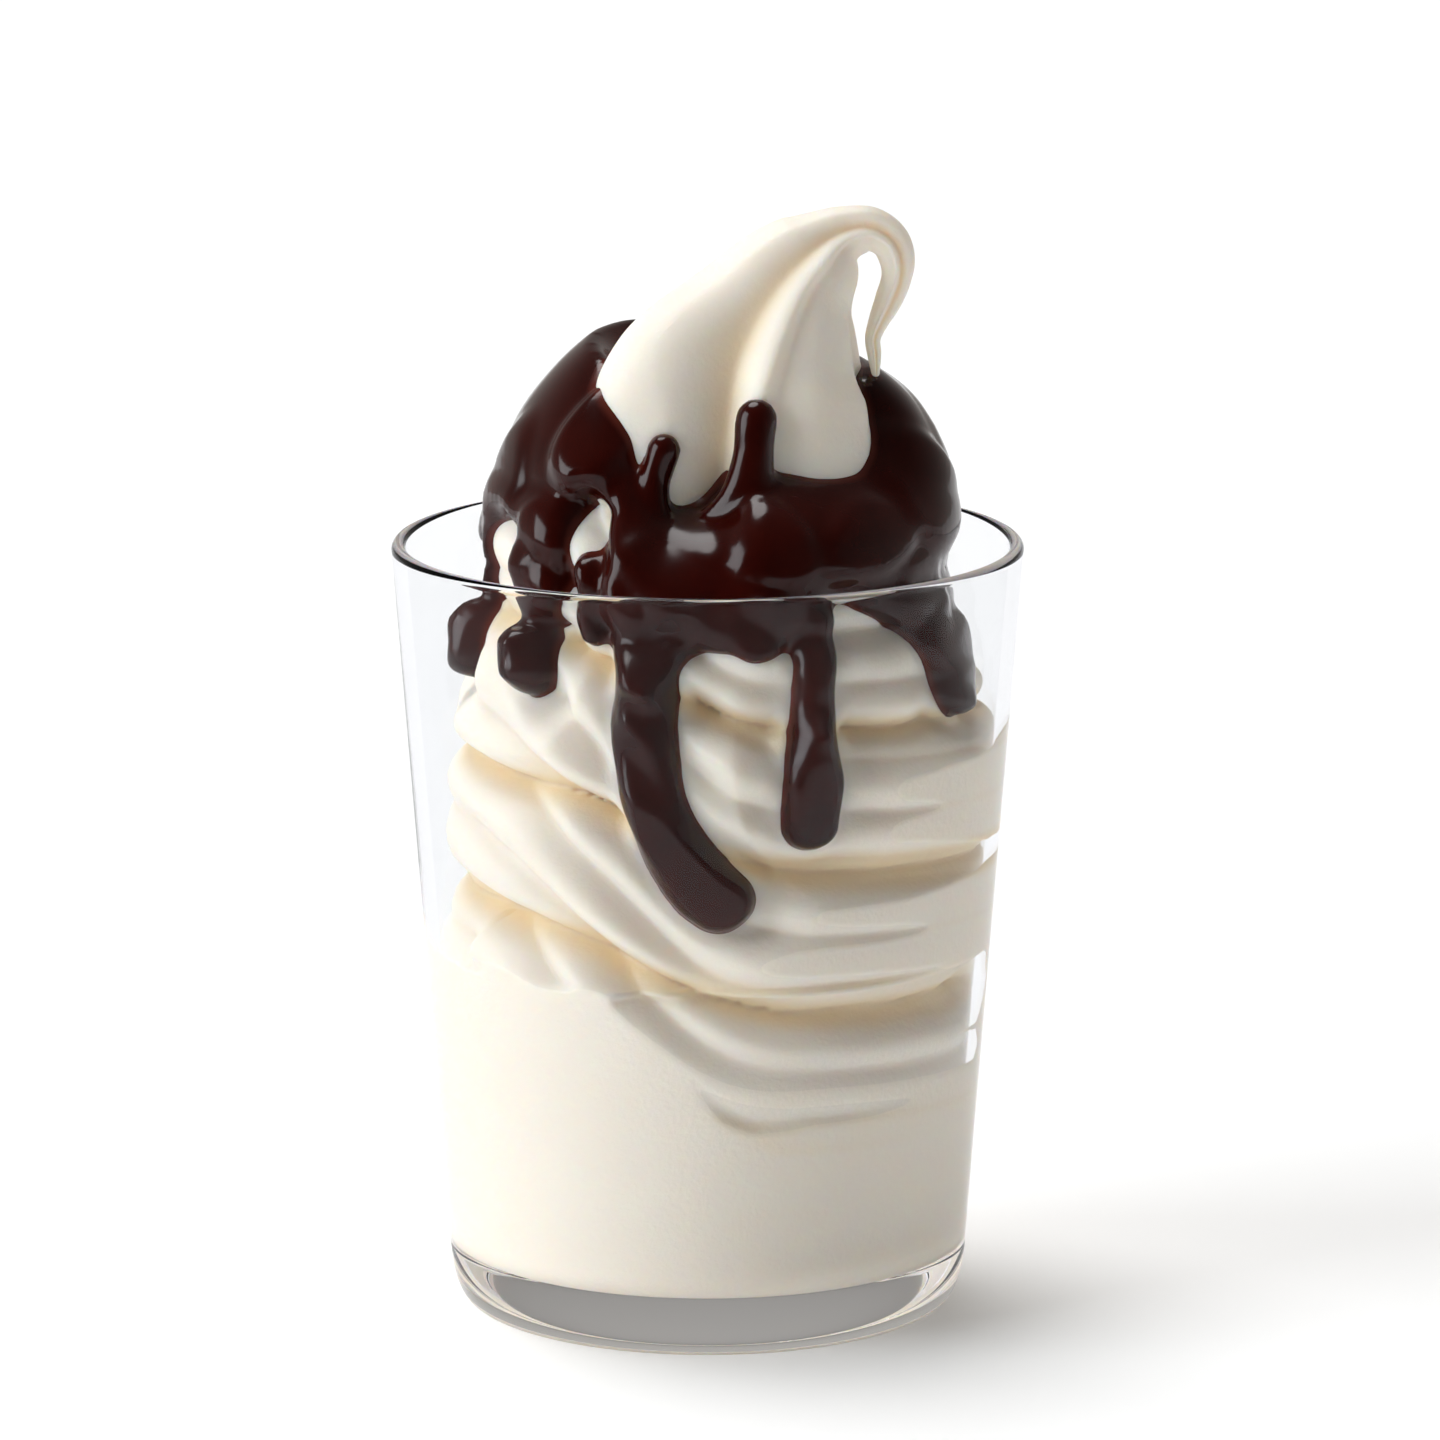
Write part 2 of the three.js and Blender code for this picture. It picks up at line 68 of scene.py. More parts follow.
# %% Camera
camera_height = 333.0  # mm above the floor
camera_distance = 1182.3
camera_pitch = 11.97  # degrees down
camera_turn = 0.083  # degrees to the right
camera_lens = 216.6  # mm, on a sensor of the usual width
sensor_width = 36.0
farthest_seen = 50.0  # metres

bpy.ops.object.select_all(action="DESELECT")
bpy.ops.object.camera_add(location=(0, -camera_distance * MM, camera_height * MM))
camera = bpy.context.object
camera.name = "photo_camera"
look = Vector((
    sin(radians(camera_turn)) * cos(radians(camera_pitch)),
    cos(radians(camera_turn)) * cos(radians(camera_pitch)),
    -sin(radians(camera_pitch)),
))
camera.rotation_euler = look.to_track_quat("-Z", "Y").to_euler()
camera.data.sensor_width = sensor_width
camera.data.lens = camera_lens
camera.data.clip_end = farthest_seen
bpy.context.scene.camera = camera
print("camera looks along", tuple(round(value, 4) for value in look))

# %% [markdown]
# ## Small tools
#
# Three kinds of helper come back all the time. `smooth` is the soft step that shaders call
# smoothstep. `follow` reads a smooth curve through a few pairs, so that a shape needs only the
# points that matter. `mould` is sculpting in code: a UV sphere is already a stack of rings
# closed at two poles, so moving its rings to the right places makes any shape that is round in
# some sense, from the whole pile of ice cream down to a drip.

# %% Curves
def smooth(low, high, value):
    """0 up to low, 1 from high on, and a soft step between them."""
    share = np.clip((value - low) / (high - low), 0, 1)
    return share * share * (3 - 2 * share)


def follow(pairs, position):
    """The height of the smooth curve through the pairs, which never swings past its points."""
    x, y = np.array(pairs, float).T
    slope = np.empty(len(y))
    slope[1:-1] = (y[2:] - y[:-2]) / (x[2:] - x[:-2])
    slope[0] = (y[1] - y[0]) / (x[1] - x[0])
    slope[-1] = (y[-1] - y[-2]) / (x[-1] - x[-2])
    i = np.clip(np.searchsorted(x, position) - 1, 0, len(x) - 2)
    width, rise = x[i + 1] - x[i], y[i + 1] - y[i]
    t = np.clip((position - x[i]) / width, 0, 1)

    def held(value):
        steepest = 3 * np.abs(rise) / width
        kept = np.sign(value) * np.minimum(np.abs(value), steepest)
        return np.where(value * rise <= 0, 0, kept) * width

    return (y[i] * (1 + 2 * t) * (1 - t) ** 2 + held(slope[i]) * t * (1 - t) ** 2
            + y[i + 1] * t * t * (3 - 2 * t) + held(slope[i + 1]) * t * t * (t - 1))


print("half way up a soft step:", smooth(0, 1, 0.5))

# %% A sphere to mould
finer = 4  # each face of the first, coarse sphere is cut into this many by this many


def mould(name, segments, rings, place):
    """A UV sphere whose points go where place(azimuth, share) says; share is 0 at the lower pole."""
    bpy.ops.object.select_all(action="DESELECT")
    bpy.ops.mesh.primitive_uv_sphere_add(segments=segments // finer, ring_count=rings // finer, radius=1)
    piece = bpy.context.object
    piece.name = name
    bpy.ops.object.mode_set(mode="EDIT")
    bpy.ops.mesh.subdivide(number_cuts=finer - 1)
    bpy.ops.object.mode_set(mode="OBJECT")
    points = np.empty(len(piece.data.vertices) * 3)
    piece.data.vertices.foreach_get("co", points)
    x, y, z = points.reshape(-1, 3).T
    azimuth = np.degrees(np.arctan2(x, -y))
    share = 1 - np.arctan2(np.hypot(x, y), z) / np.pi
    set_points(piece, place(azimuth, share))
    bpy.ops.object.shade_smooth()
    return piece, azimuth, share


def points_of(piece):
    points = np.empty(len(piece.data.vertices) * 3)
    piece.data.vertices.foreach_get("co", points)
    return points.reshape(-1, 3) / MM


def set_points(piece, points):
    piece.data.vertices.foreach_set("co", (np.asarray(points) * MM).ravel())
    piece.data.update()


def note_values(piece, name, values):
    """Keeps one number at each point, which a material can read by this name."""
    attribute = piece.data.attributes.new(name, "FLOAT", "POINT")
    attribute.data.foreach_set("value", np.asarray(values, np.float32))


def report(piece):
    size = points_of(piece).max(0) - points_of(piece).min(0)
    triangles = sum(len(face.vertices) - 2 for face in piece.data.polygons)
    print(f"{piece.name}: {size.round(1)} mm, {triangles} triangles")


print(f"a sphere of 400 by 236 faces starts as one of {400 // finer} by {236 // finer}")

# %% [markdown]
# ## The tumbler
#
# The glass is turned, so half of its outline spun round the axis makes it. The outline could
# come from a curve and a Screw modifier; here the points are laid out and the edit-mode
# spin makes the wall, because spinning shows plainly that the foot and the floor close on the
# axis. The two points on the axis make many doubles, which are merged before the normals are
# pointed outwards. Each straight stretch has a guard point close to the bend at its end. Without
# it the smooth shading of the bend would spread over the whole wall, and glass shows at once
# that its two faces aren't parallel: light is caught in the wall and its edges turn black.

# %% Sizes of the tumbler, from the frame
glass_far_corner = np.array(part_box("glass_tumbler")[1]) / MM
rim_radius = round(glass_far_corner[0], 0)
glass_height = glass_far_corner[2]
foot_radius = 35.7  # the wall's outer radius, carried down to the table
wall_thickness = 2.0
floor_thickness = 8.0
heel_height = 8.6
resting_radius = 33.2
recess_height = 0.6  # mm that the underside stands off the table
recess_slope = 5.0  # mm from the resting ring to the flat of the underside
inner_corner = 4.5  # radius of the round between the wall and the floor


def outer_wall(height):
    return foot_radius + (rim_radius - foot_radius) * height / glass_height


def inner_wall(height):
    return outer_wall(height) - wall_thickness


print(f"rim {rim_radius:.1f} mm, height {glass_height:.1f} mm, inner floor {inner_wall(0):.1f} mm")

# %% Half of the tumbler's outline
def arc(centre, radii, start, end, steps):
    """Points on part of an ellipse, from one angle in degrees to another, in steps."""
    angle = np.radians(np.linspace(start, end, steps + 1))
    return np.column_stack([
        centre[0] + radii[0] * np.cos(angle),
        np.zeros(len(angle)),
        centre[1] + radii[1] * np.sin(angle),
    ])


lip = wall_thickness / 2
lip_middle = outer_wall(glass_height - lip) - lip
lip_low = glass_height - lip
corner_height = floor_thickness + inner_corner
corner_middle = inner_wall(corner_height) - inner_corner
recess_radius = resting_radius - recess_slope
heel = (outer_wall(heel_height) - resting_radius, heel_height)
guard = 0.25  # mm from a bend to the point that guards it
across = np.linspace(0, 1, 9)
foot_ring = np.column_stack([
    recess_radius + recess_slope * across,
    np.zeros(len(across)),
    recess_height * (1 + np.cos(np.pi * across)) / 2,
])
outline = np.vstack([
    [[0, 0, recess_height], [recess_radius - guard, 0, recess_height]],
    foot_ring,
    arc((resting_radius, heel_height), heel, -90, 0, steps=22)[1:],
    [[outer_wall(heel_height + guard), 0, heel_height + guard]],
    [[outer_wall(lip_low - guard), 0, lip_low - guard]],
    arc((lip_middle, lip_low), (lip, lip), 0, 180, steps=16),
    [[inner_wall(lip_low - guard), 0, lip_low - guard]],
    [[inner_wall(corner_height + guard), 0, corner_height + guard]],
    arc((corner_middle, corner_height), (inner_corner, inner_corner), 0, -90, steps=14),
    [[corner_middle - guard, 0, floor_thickness], [0, 0, floor_thickness]],
])
print(len(outline), "points in the outline")

# %% Spin it
glass_steps = 160
crisp_angle = 40.0  # degrees; flatter edges than this are shaded round

outline_mesh = bpy.data.meshes.new("tumbler_glass")
outline_mesh.from_pydata(outline * MM, [(i, i + 1) for i in range(len(outline) - 1)], [])
glass = bpy.data.objects.new("tumbler_glass", outline_mesh)
bpy.context.collection.objects.link(glass)
bpy.ops.object.select_all(action="DESELECT")
glass.select_set(True)
bpy.context.view_layer.objects.active = glass
bpy.ops.object.mode_set(mode="EDIT")
bpy.ops.mesh.select_all(action="SELECT")
bpy.ops.mesh.spin(steps=glass_steps, angle=radians(360), center=(0, 0, 0), axis=(0, 0, 1))
bpy.ops.mesh.select_all(action="SELECT")
bpy.ops.mesh.remove_doubles(threshold=0.01 * MM)
bpy.ops.mesh.normals_make_consistent(inside=False)
bpy.ops.object.mode_set(mode="OBJECT")
bpy.ops.object.shade_smooth_by_angle(angle=radians(crisp_angle))
report(glass)

# %% [markdown]
# ## The shape of the soft serve
#
# The nozzle lays one thick rope in a rising coil. Two things shape its skin. Where one turn
# meets the next there is a deep crevice, and the nozzle's star leaves ridges along the rope.
# So the pile is a round form with its surface drawn in by a relief that depends on how far
# across a turn a point lies. The camera sees the rope come down across the front, so a turn
# drops by `front_drop` there and climbs back behind.

# %% The rope's crevices and ridges
turn_pitch = 19.4  # mm from one turn of the rope to the next
first_crevice = 79.0  # height of one crevice at the left
left_azimuth = -60.0  # the rope comes down across the front from here
drop_start, drop_end = 10.0, 82.0  # degrees on from there
front_drop = 11.0  # mm
crevice_depth, front_crevice_depth = 4.4, 6.2
ridge_depth, front_ridge_depth = 1.6, 3.3
crevice_sharpness = 3.4
ridge_spacing, front_extra_spacing = 6.8, 2.9  # mm from ridge to ridge
groove_roundness = 0.012
back_twist = 0.67  # how far the star twists round the back, in ridges
first_ridge = 0.13  # where the ridges start, in ridges


def drop_at(azimuth):
    """Millimetres that a turn has come down since the left."""
    round_left = (azimuth - left_azimuth + 360) % 360
    over_back = np.maximum(round_left - drop_end, 0) / (360 - drop_end)
    return front_drop * smooth(drop_start, drop_end, round_left) + (turn_pitch - front_drop) * over_back


def twist_at(azimuth, turn):
    """How far the star has twisted, in ridges: by two ridges across the front of every turn."""
    round_left = (azimuth - left_azimuth + 360) % 360
    this_front, next_front = smooth(-12, 72, round_left), smooth(-12, 72, round_left - 360)
    front = np.where(round_left < 180, this_front, 1 + next_front)
    return (2 * front + back_twist * smooth(75, 340, round_left)
            + (1 - back_twist) * np.maximum(turn, -1) + first_ridge)


def crevice_and_ridge(azimuth, height):
    """How deep a point lies in a crevice between turns and in a groove of the star, each 0 to 1."""
    turns = (height - first_crevice + drop_at(azimuth)) / turn_pitch
    turn = np.floor(turns)
    across = turns - turn
    at_front = smooth(-110, -70, azimuth) * (1 - smooth(-10, 30, azimuth))
    spacing = ridge_spacing + front_extra_spacing * at_front
    ridges = (across - 0.5) * turn_pitch / spacing + twist_at(azimuth, turn)
    groove = 1 - np.sqrt(np.sin(np.pi * ridges) ** 2 + groove_roundness)
    crevice = np.abs(2 * across - 1) ** crevice_sharpness
    return crevice, groove * (1 - 0.5 * crevice)


def relief_at(azimuth, height):
    """Millimetres that the skin lies below its crests."""
    crevice, groove = crevice_and_ridge(azimuth, height)
    at_front = smooth(-85, -60, azimuth) * (1 - smooth(-10, 25, azimuth))
    return ((crevice_depth + (front_crevice_depth - crevice_depth) * at_front) * crevice
            + (ridge_depth + (front_ridge_depth - ridge_depth) * at_front) * groove)


print("relief down the front, 55 to 95 mm:", relief_at(0.0, np.arange(55, 96, 5)).round(1))

# %% [markdown]
# ## Where the fudge runs
#
# The runs of fudge are placed before the pile is made, because the pile is pressed in a little
# under each of them, where the wall leaves little room. A run could be a curve with a bevel,
# but a tube never lies snugly on a ridged skin. So a run is only noted here: its thickness in
# mm, and then its stations, each with its azimuth, its height and half of its width. A fourth
# value says how much thicker it is there: the lower end of a drip swells, because the fudge
# gathers in it before it stops.

# %% The runs, from the left round the front to the right and then behind
fudge_runs = [
    (2.0, [(-80, 116, 1.8), (-85, 109, 1.2), (-88, 102, 1.5, 0.6), (-89, 97, 3.2, 2), (-88, 92.5, 3.6, 3)]),
    (2.6, [(-52, 116, 5.6), (-51, 110, 5.6), (-50, 106, 5), (-51.5, 102, 3.9), (-51, 98, 4, 0.5),
           (-49.4, 94.6, 3.9, 1.2)]),
    (2.2, [(-34.2, 108.6, 2.2), (-33.4, 103.5, 2.4, 0.3), (-32.6, 100.8, 2.3, 0.3)]),
    (2.6, [(-17.8, 103, 5), (-17.8, 96, 4.3), (-18.3, 90, 4.4), (-16.9, 84, 4.1), (-15.4, 79, 4.1),
           (-12.8, 74.5, 4.2), (-8.8, 70.3, 4.3), (-4.2, 66.8, 4.4, 0.3), (0, 64.7, 4.2, 0.4)]),
    (2.4, [(25.5, 102, 3.2), (22.4, 94, 2.9), (20.6, 86, 3.3), (20, 81, 3.8, 0.3), (19.2, 75.2, 3.6, 0.4)]),
    (2.4, [(70, 99, 9), (69, 94.5, 6.4), (64.6, 90, 3.6, 0.3)]),
    (2.2, [(108, 106, 3), (109, 98, 2.5), (110, 92, 3, 0.4)]),
    (2.3, [(138, 103, 3.4), (139, 93, 3), (140, 80, 2.8), (141, 71, 3.6, 0.4)]),
    (2.2, [(165, 107, 2.6), (166, 97, 2.4), (167, 91, 2.9, 0.4)]),
    (2.4, [(-165, 106, 4.2), (-163, 96, 3.4), (-160, 84, 3.2), (-158, 76, 4, 0.4)]),
    (2.2, [(-135, 104, 3), (-136, 95, 2.5), (-137, 88, 3.1, 0.4)]),
    (2.0, [(-111, 108, 2.4), (-112, 99, 2.6, 0.3)]),
]


def station_value(stations, which, t):
    """One value of the stations, the which-th, at t stations along the run."""
    values = [(i, (*station, 0)[which]) for i, station in enumerate(stations)]
    return follow(values, t)


lowest = min(stations[-1][1] for thickness, stations in fudge_runs)
print(len(fudge_runs), "runs; the longest comes down to", lowest, "mm")

# %% How far a place is from the runs
dome_radius = 31.2
far_away = 99.0


def turned_from(azimuth, from_azimuth):
    """The angle between two azimuths in radians, from minus half a turn to half a turn."""
    return np.radians((azimuth - from_azimuth + 540) % 360 - 180)


def places_along(stations, steps):
    """Places along a run, counted in stations, with this many steps from one to the next."""
    return np.arange((len(stations) - 1) * steps + 1) / steps


def away_from_runs(azimuth, height):
    """Millimetres to the nearest run; less than 0 under it."""
    away = np.full(np.shape(azimuth), far_away)
    for run_thickness, stations in fudge_runs:
        for t in places_along(stations, 4):
            beside = turned_from(azimuth, station_value(stations, 0, t)) * dome_radius
            above = height - station_value(stations, 1, t)
            away = np.minimum(away, np.hypot(beside, above) - station_value(stations, 2, t))
    return away


print("from the front at 90 mm to the nearest run:", away_from_runs(np.zeros(1), 90.0).round(1), "mm")

# %% [markdown]
# ## The pile
#
# In the lower half the pile is pressed flat on the glass, but for one hollow at the right of
# the front, where the next turn down shows behind the wall. Above that it stands free, swells
# out to the wall at the right, and ends in a dome under the tip. Where it touches, the
# finished piece reaches a tenth of a millimetre into the wall: with an air gap the glass
# would show a mirror-like film between itself and the ice cream.

# %% The pile's outline, height by height
pressed_height = 51.0  # mm, up to which the pile is pressed on the glass
pressed_past = 9.0  # mm that it would stand past the wall there, so that the creases fill too
crest_past_wall = 0.2
wall_contact = 0.12  # mm into the glass
above_rim = 4.0  # mm above the rim where the wall still holds things in
pile_lean, dome_lean = 2.0, 0.8  # mm to the right
dome_start, dome_middle = 100.0, 126.0  # heights of its lower edge and of its middle
# Height and radius of the free part, up to the dome.
crest_radius = [
    (51, 40.5), (52.5, 38.6), (60, 38.4), (70, 38.7), (80, 39.1), (88, 37.6), (95, 34.6), (100, 31.3),
]
# Azimuth and height of the dome's top edge, low at the front, where the tip comes out of it.
shoulder_height = [
    (-180, 139), (-135, 141), (-90, 140), (-60, 137.5), (-40, 132.5), (-24, 123), (-14, 117.5),
    (-4, 117), (3, 118.5), (14, 123), (45, 123), (62, 125), (82, 134), (110, 136), (135, 137), (180, 139),
]
# Azimuth and the power that squares the dome's shoulder; 2 is a round one.
shoulder_squareness = [
    (-180, 3), (-120, 2.3), (-50, 2.3), (0, 3), (50, 3.6), (90, 4.5), (150, 3.2), (180, 3),
]


def lean_at(height):
    """How far the pile's middle has moved to the right."""
    return pile_lean * smooth(45, 70, height) + (dome_lean - pile_lean) * smooth(88, 108, height)


def polar(azimuth, radius, height):
    """Points round the pile's own, leaning middle."""
    angle = np.radians(azimuth)
    return np.column_stack(np.broadcast_arrays(
        lean_at(height) + radius * np.sin(angle), -radius * np.cos(angle), height))


def held_inside(points, room):
    """What would go through the wall lies flat against it, with this much room."""
    reach = np.hypot(points[:, 0], points[:, 1])
    most = inner_wall(np.minimum(points[:, 2], glass_height)) - room
    over = (reach > most) & (points[:, 2] < glass_height + above_rim)
    points[over, :2] *= (most / np.maximum(reach, 1e-9))[over, None]
    return points


print("the pile's middle leans", lean_at(np.array([40.0, 80.0, 110.0])), "mm at 40, 80 and 110 mm")

# %% Its side
most_swell = 1.8
bed_depth, bed_spread = 2.4, 8.0  # the bed that a run presses into the pile
smoothed_beside = 2.5  # mm beside a run where the fudge still evens out the ridges
smoothed_share = 0.75
smoothed_lower = 0.9  # mm that the evened skin lies below the crests


def pocket_at(azimuth, height):
    """1 in the hollow at the right of the front, where the pile misses the wall."""
    left_edge = -31 + 36 * (np.maximum(52 - height, 0) / 22) ** 1.3
    across = smooth(left_edge - 6, left_edge + 12, azimuth) * (1 - smooth(76, 92, azimuth))
    return across * smooth(24, 35, height)


def swell_at(azimuth, height):
    """The swelling towards the wall at the right."""
    return (most_swell * smooth(40, 75, azimuth) * (1 - smooth(110, 145, azimuth))
            * smooth(51, 56, height) * (1 - smooth(82, 92, height)))


def side_points(azimuth, height, lift, room):
    """Points of the side, raised by lift and held inside the wall."""
    free = smooth(pressed_height - 0.3, pressed_height + 0.9, height)
    pressed = (1 - pocket_at(azimuth, height)) * (1 - free)
    free_crest = follow(crest_radius, height) + swell_at(azimuth, height)
    crest = (inner_wall(height) + crest_past_wall) * (1 - free) + free_crest * free
    away = away_from_runs(azimuth, height)
    bed = bed_depth * (1 - smooth(0, bed_spread, away)) * (1 - smooth(90, 98, height))
    even = (1 - smooth(0, smoothed_beside, away)) * smooth(52, 58, height)
    fading = (1 - 0.2 * smooth(92, 100, height)) * (0.5 + 0.5 * smooth(31, 46, height))
    relief = relief_at(azimuth, height) * fading * (1 - smoothed_share * even)
    radius = crest + pressed_past * pressed - relief - smoothed_lower * even - bed + lift
    return held_inside(polar(azimuth, radius, height), room)


print("the pocket, down the front from 50 mm:", pocket_at(0.0, np.arange(50, 20, -6)).round(2))

# %% Its dome
def dome_relief(share):
    """The share of the relief that is left this far up the dome."""
    return 0.8 * (1 - smooth(0.3, 0.9, share))


def dome_points(azimuth, share, lift):
    """Points of the dome, which goes over from outwards to upwards, raised by lift."""
    edge_top = follow(shoulder_height, azimuth)
    top = edge_top + (dome_middle - edge_top) * smooth(0.86, 1, share)
    height = dome_start + (top - dome_start) * share
    raised = lift - relief_at(azimuth, height) * dome_relief(share)
    radius = dome_radius * np.sqrt(np.maximum(1 - share ** follow(shoulder_squareness, azimuth), 0))
    outward = np.sqrt(1 - smooth(0.1, 1, share) ** 2)
    return polar(azimuth, radius + raised * outward, height + raised * (1 - outward))


print("relief left up the dome:", dome_relief(np.linspace(0, 1, 5)).round(2))

# %% Mould the pile
floor_share, pressed_share, side_share = 0.04, 0.30, 0.76  # how the sphere's rings are dealt out
pile_foot = floor_thickness - wall_contact
# A star's groove gets this share of the painted crease shade that a crevice gets.
groove_shade_share = 0.45  # how much of a crease a star's groove is, beside a crevice
ring_shares = [floor_share, pressed_share, side_share, 1]
ring_heights = [pile_foot, pressed_height, dome_start, dome_middle]


def place_pile(azimuth, share):
    height = np.interp(share, ring_shares[:3], ring_heights[:3])
    points = side_points(azimuth, height, 0.0, -wall_contact)
    # The foot follows the rounded corner inside the glass.
    under = share <= floor_share
    low = (height < corner_height) & ~under
    into = np.sqrt(np.maximum(1 - ((corner_height - height[low]) / inner_corner) ** 2, 0))
    foot = corner_middle + inner_corner * into + wall_contact
    points[low] = polar(azimuth[low], foot, height[low])
    points[under] = polar(azimuth[under], corner_middle * share[under] / floor_share, pile_foot)
    dome = share > side_share
    points[dome] = dome_points(azimuth[dome], (share[dome] - side_share) / (1 - side_share), 0.0)
    return points


def pile_crease_shade(azimuth, share):
    """How much painted shade a point gets in the creases, by how deep it lies in a crevice or groove: 0 on
    the crests and where the pile is flat on the glass.
    """
    height = np.interp(share, ring_shares, ring_heights)
    crevice, groove = crevice_and_ridge(azimuth, height)
    flat = (height < pressed_height) * (1 - pocket_at(azimuth, height))
    return np.clip(crevice + groove_shade_share * groove, 0, 1) * (1 - flat)


pile, azimuth, share = mould("soft_serve_pile", 400, 236, place_pile)
# The crease value kept on the pile makes the cream darker and warmer there: painted shade.
note_values(pile, "crease_shade", pile_crease_shade(azimuth, share))
report(pile)

# %% [markdown]
# ## The tip
#
# When the nozzle is pulled away, its star stretches to a peak, falls over to the right and
# ends in a thin tail. It is a star-shaped section swept along a spine. A Bezier curve with a
# bevel object could sweep it, but its section would be the same everywhere, and here the star
# twists and its grooves shift on the way up. So each ring of a sphere becomes one section. The
# spine is a smooth curve through a few stations, each with its x, its height and the star's
# radius.

# %% The tip's spine
tip_stations = [
    (4.8, 111, 20.2), (5.2, 116, 20.2), (5.6, 121.5, 19.3), (6.1, 127.8, 18.1), (7.1, 133.4, 16.4),
    (8.9, 138.3, 13.5), (12, 144.2, 9.9), (15.5, 148.2, 7.2), (18.9, 151, 4.2), (22.6, 151.6, 3.2),
    (25.1, 150, 2.8), (26.1, 147.4, 2.5), (26, 144.9, 2.1), (24.9, 141.8, 1.9), (23.5, 138.7, 1.4),
    (22.8, 136.5, 1.1), (23, 134.3, 1), (23.2, 131.7, 0.6),
]
tip_forward = -1.5  # mm, towards the camera
tip_groove_depth = 0.24  # of the radius
tip_fullness = 1.02  # of the radius, on the ridges
low_section, high_section = 124.0, 140.0  # the heights between which the star twists
# The star's grooves and ridges: azimuth low on the tip, azimuth near its top, depth 0 to 1.
tip_section = [
    (-180, -180, 0.4), (-152, -165, 0.75), (-126, -142, 0), (-100, -118, 0.6), (-68, -86, 0.05),
    (-35, -54, 0), (-13, -18, 1), (2, 5, 0.15), (11, 14, 0.42), (30, 34, 0.12), (58, 60, 0),
    (84, 84, 0.6), (106, 106, 0), (130, 130, 0.7), (155, 155, 0.1), (180, 180, 0.4),
]
# The foot of the tip spreads out on one side.
flare_azimuth, flare_width, flare_reach = -60.0, 24.0, 6.0


def spine_at(t):
    """Points of a centripetal Catmull-Rom curve through the stations; t counts stations."""
    knots = np.array([(x, tip_forward, z) for x, z, r in tip_stations])
    knots = np.vstack([2 * knots[0] - knots[1], knots, 2 * knots[-1] - knots[-2]])
    i = np.clip(np.floor(t).astype(int), 0, len(tip_stations) - 2)
    u = (t - i)[:, None]
    p0, p1, p2, p3 = (knots[i + k] for k in range(4))
    pairs = ((p0, p1), (p1, p2), (p2, p3))
    d1, d2, d3 = (np.sqrt(np.linalg.norm(b - a, axis=1))[:, None] for a, b in pairs)
    m1 = ((p1 - p0) / d1 - (p2 - p0) / (d1 + d2) + (p2 - p1) / d2) * d2
    m2 = ((p2 - p1) / d2 - (p3 - p1) / (d2 + d3) + (p3 - p2) / d3) * d2
    return ((2 * u**3 - 3 * u**2 + 1) * p1 + (u**3 - 2 * u**2 + u) * m1
            + (3 * u**2 - 2 * u**3) * p2 + (u**3 - u**2) * m2)


def tip_groove(azimuth, height):
    """How deep a point lies in a groove of the star, 0 to 1; the star twists on its way up."""
    low, high, depth = np.array(tip_section, float).T
    number = np.arange(len(depth))
    twist = smooth(low_section, high_section, height)
    at = np.interp(azimuth, low, number) * (1 - twist) + np.interp(azimuth, high, number) * twist
    return follow(np.column_stack([number, depth]), at)


def tip_reach(azimuth, height, radius):
    """Millimetres from the spine to the tip's skin."""
    at_foot = (1 - smooth(129, 143, height)) * smooth(6, 12, radius)
    flare = flare_reach * np.exp(-(((azimuth - flare_azimuth) / flare_width) ** 2)) * at_foot
    return radius * (tip_fullness - tip_groove_depth * tip_groove(azimuth, height)) + flare


print("the spine starts at", spine_at(np.zeros(1)).round(1), "mm")

# %% Sweep the star
last_station = len(tip_stations) - 1
tip_foot, tip_end = 0.02, 0.98  # shares of the rings where the foot ends and the tail's end starts
# How much painted shade the tip's deepest groove gets in the cream's colour.
tip_crease_shade = 0.75  # how much of a crease the tip's deepest groove is


def place_tip(azimuth, share):
    t = np.clip((share - tip_foot) / (tip_end - tip_foot), 0, 1) * last_station
    centre = spine_at(t)
    along = spine_at(np.minimum(t + 0.02, last_station)) - spine_at(np.maximum(t - 0.02, 0))
    along /= np.linalg.norm(along, axis=1)[:, None]
    behind = np.array([0, 1, 0])
    right = np.cross(np.broadcast_to(behind, along.shape), along)
    radius = follow([(i, r) for i, (x, z, r) in enumerate(tip_stations)], t)
    reach = tip_reach(azimuth, centre[:, 2], radius)
    end = np.clip((share - tip_end) / (1 - tip_end), 0, 1)  # the tail's rounded end
    start = np.clip(share / tip_foot, 0, 1)  # the flat foot, inside the pile
    reach = reach * start * np.sqrt(1 - end**2)
    angle = np.radians(azimuth)
    sideways = right * (reach * np.sin(angle))[:, None]
    forwards = -behind * (reach * np.cos(angle))[:, None]
    return centre + sideways + forwards + along * (end * tip_stations[-1][2])[:, None]


tip, azimuth, share = mould("soft_serve_tip", 192, 260, place_tip)
# The tip's grooves are kept as crease values too, which paint shade into the cream's colour.
note_values(tip, "crease_shade", tip_crease_shade * tip_groove(azimuth, points_of(tip)[:, 2]))
report(tip)

# %% [markdown]
# ## The fudge
#
# Warm fudge is thick. It lies over the dome in a layer about two millimetres deep with a
# rounded edge, and runs down in drips. A drip is no separate form: layer and drips are one
# liquid. So the sheet of fudge starts as the pile's own skin, and at each of its points
# `cover_at` tells how far inside the fudge's outline that point is. Near the outline the skin
# is raised steeply, further in it keeps its depth. Blending the distances with a soft maximum
# gives the webs between neighbouring drips that a liquid has.

# %% How far a point lies inside the fudge
fudge_depth = 2.1  # mm
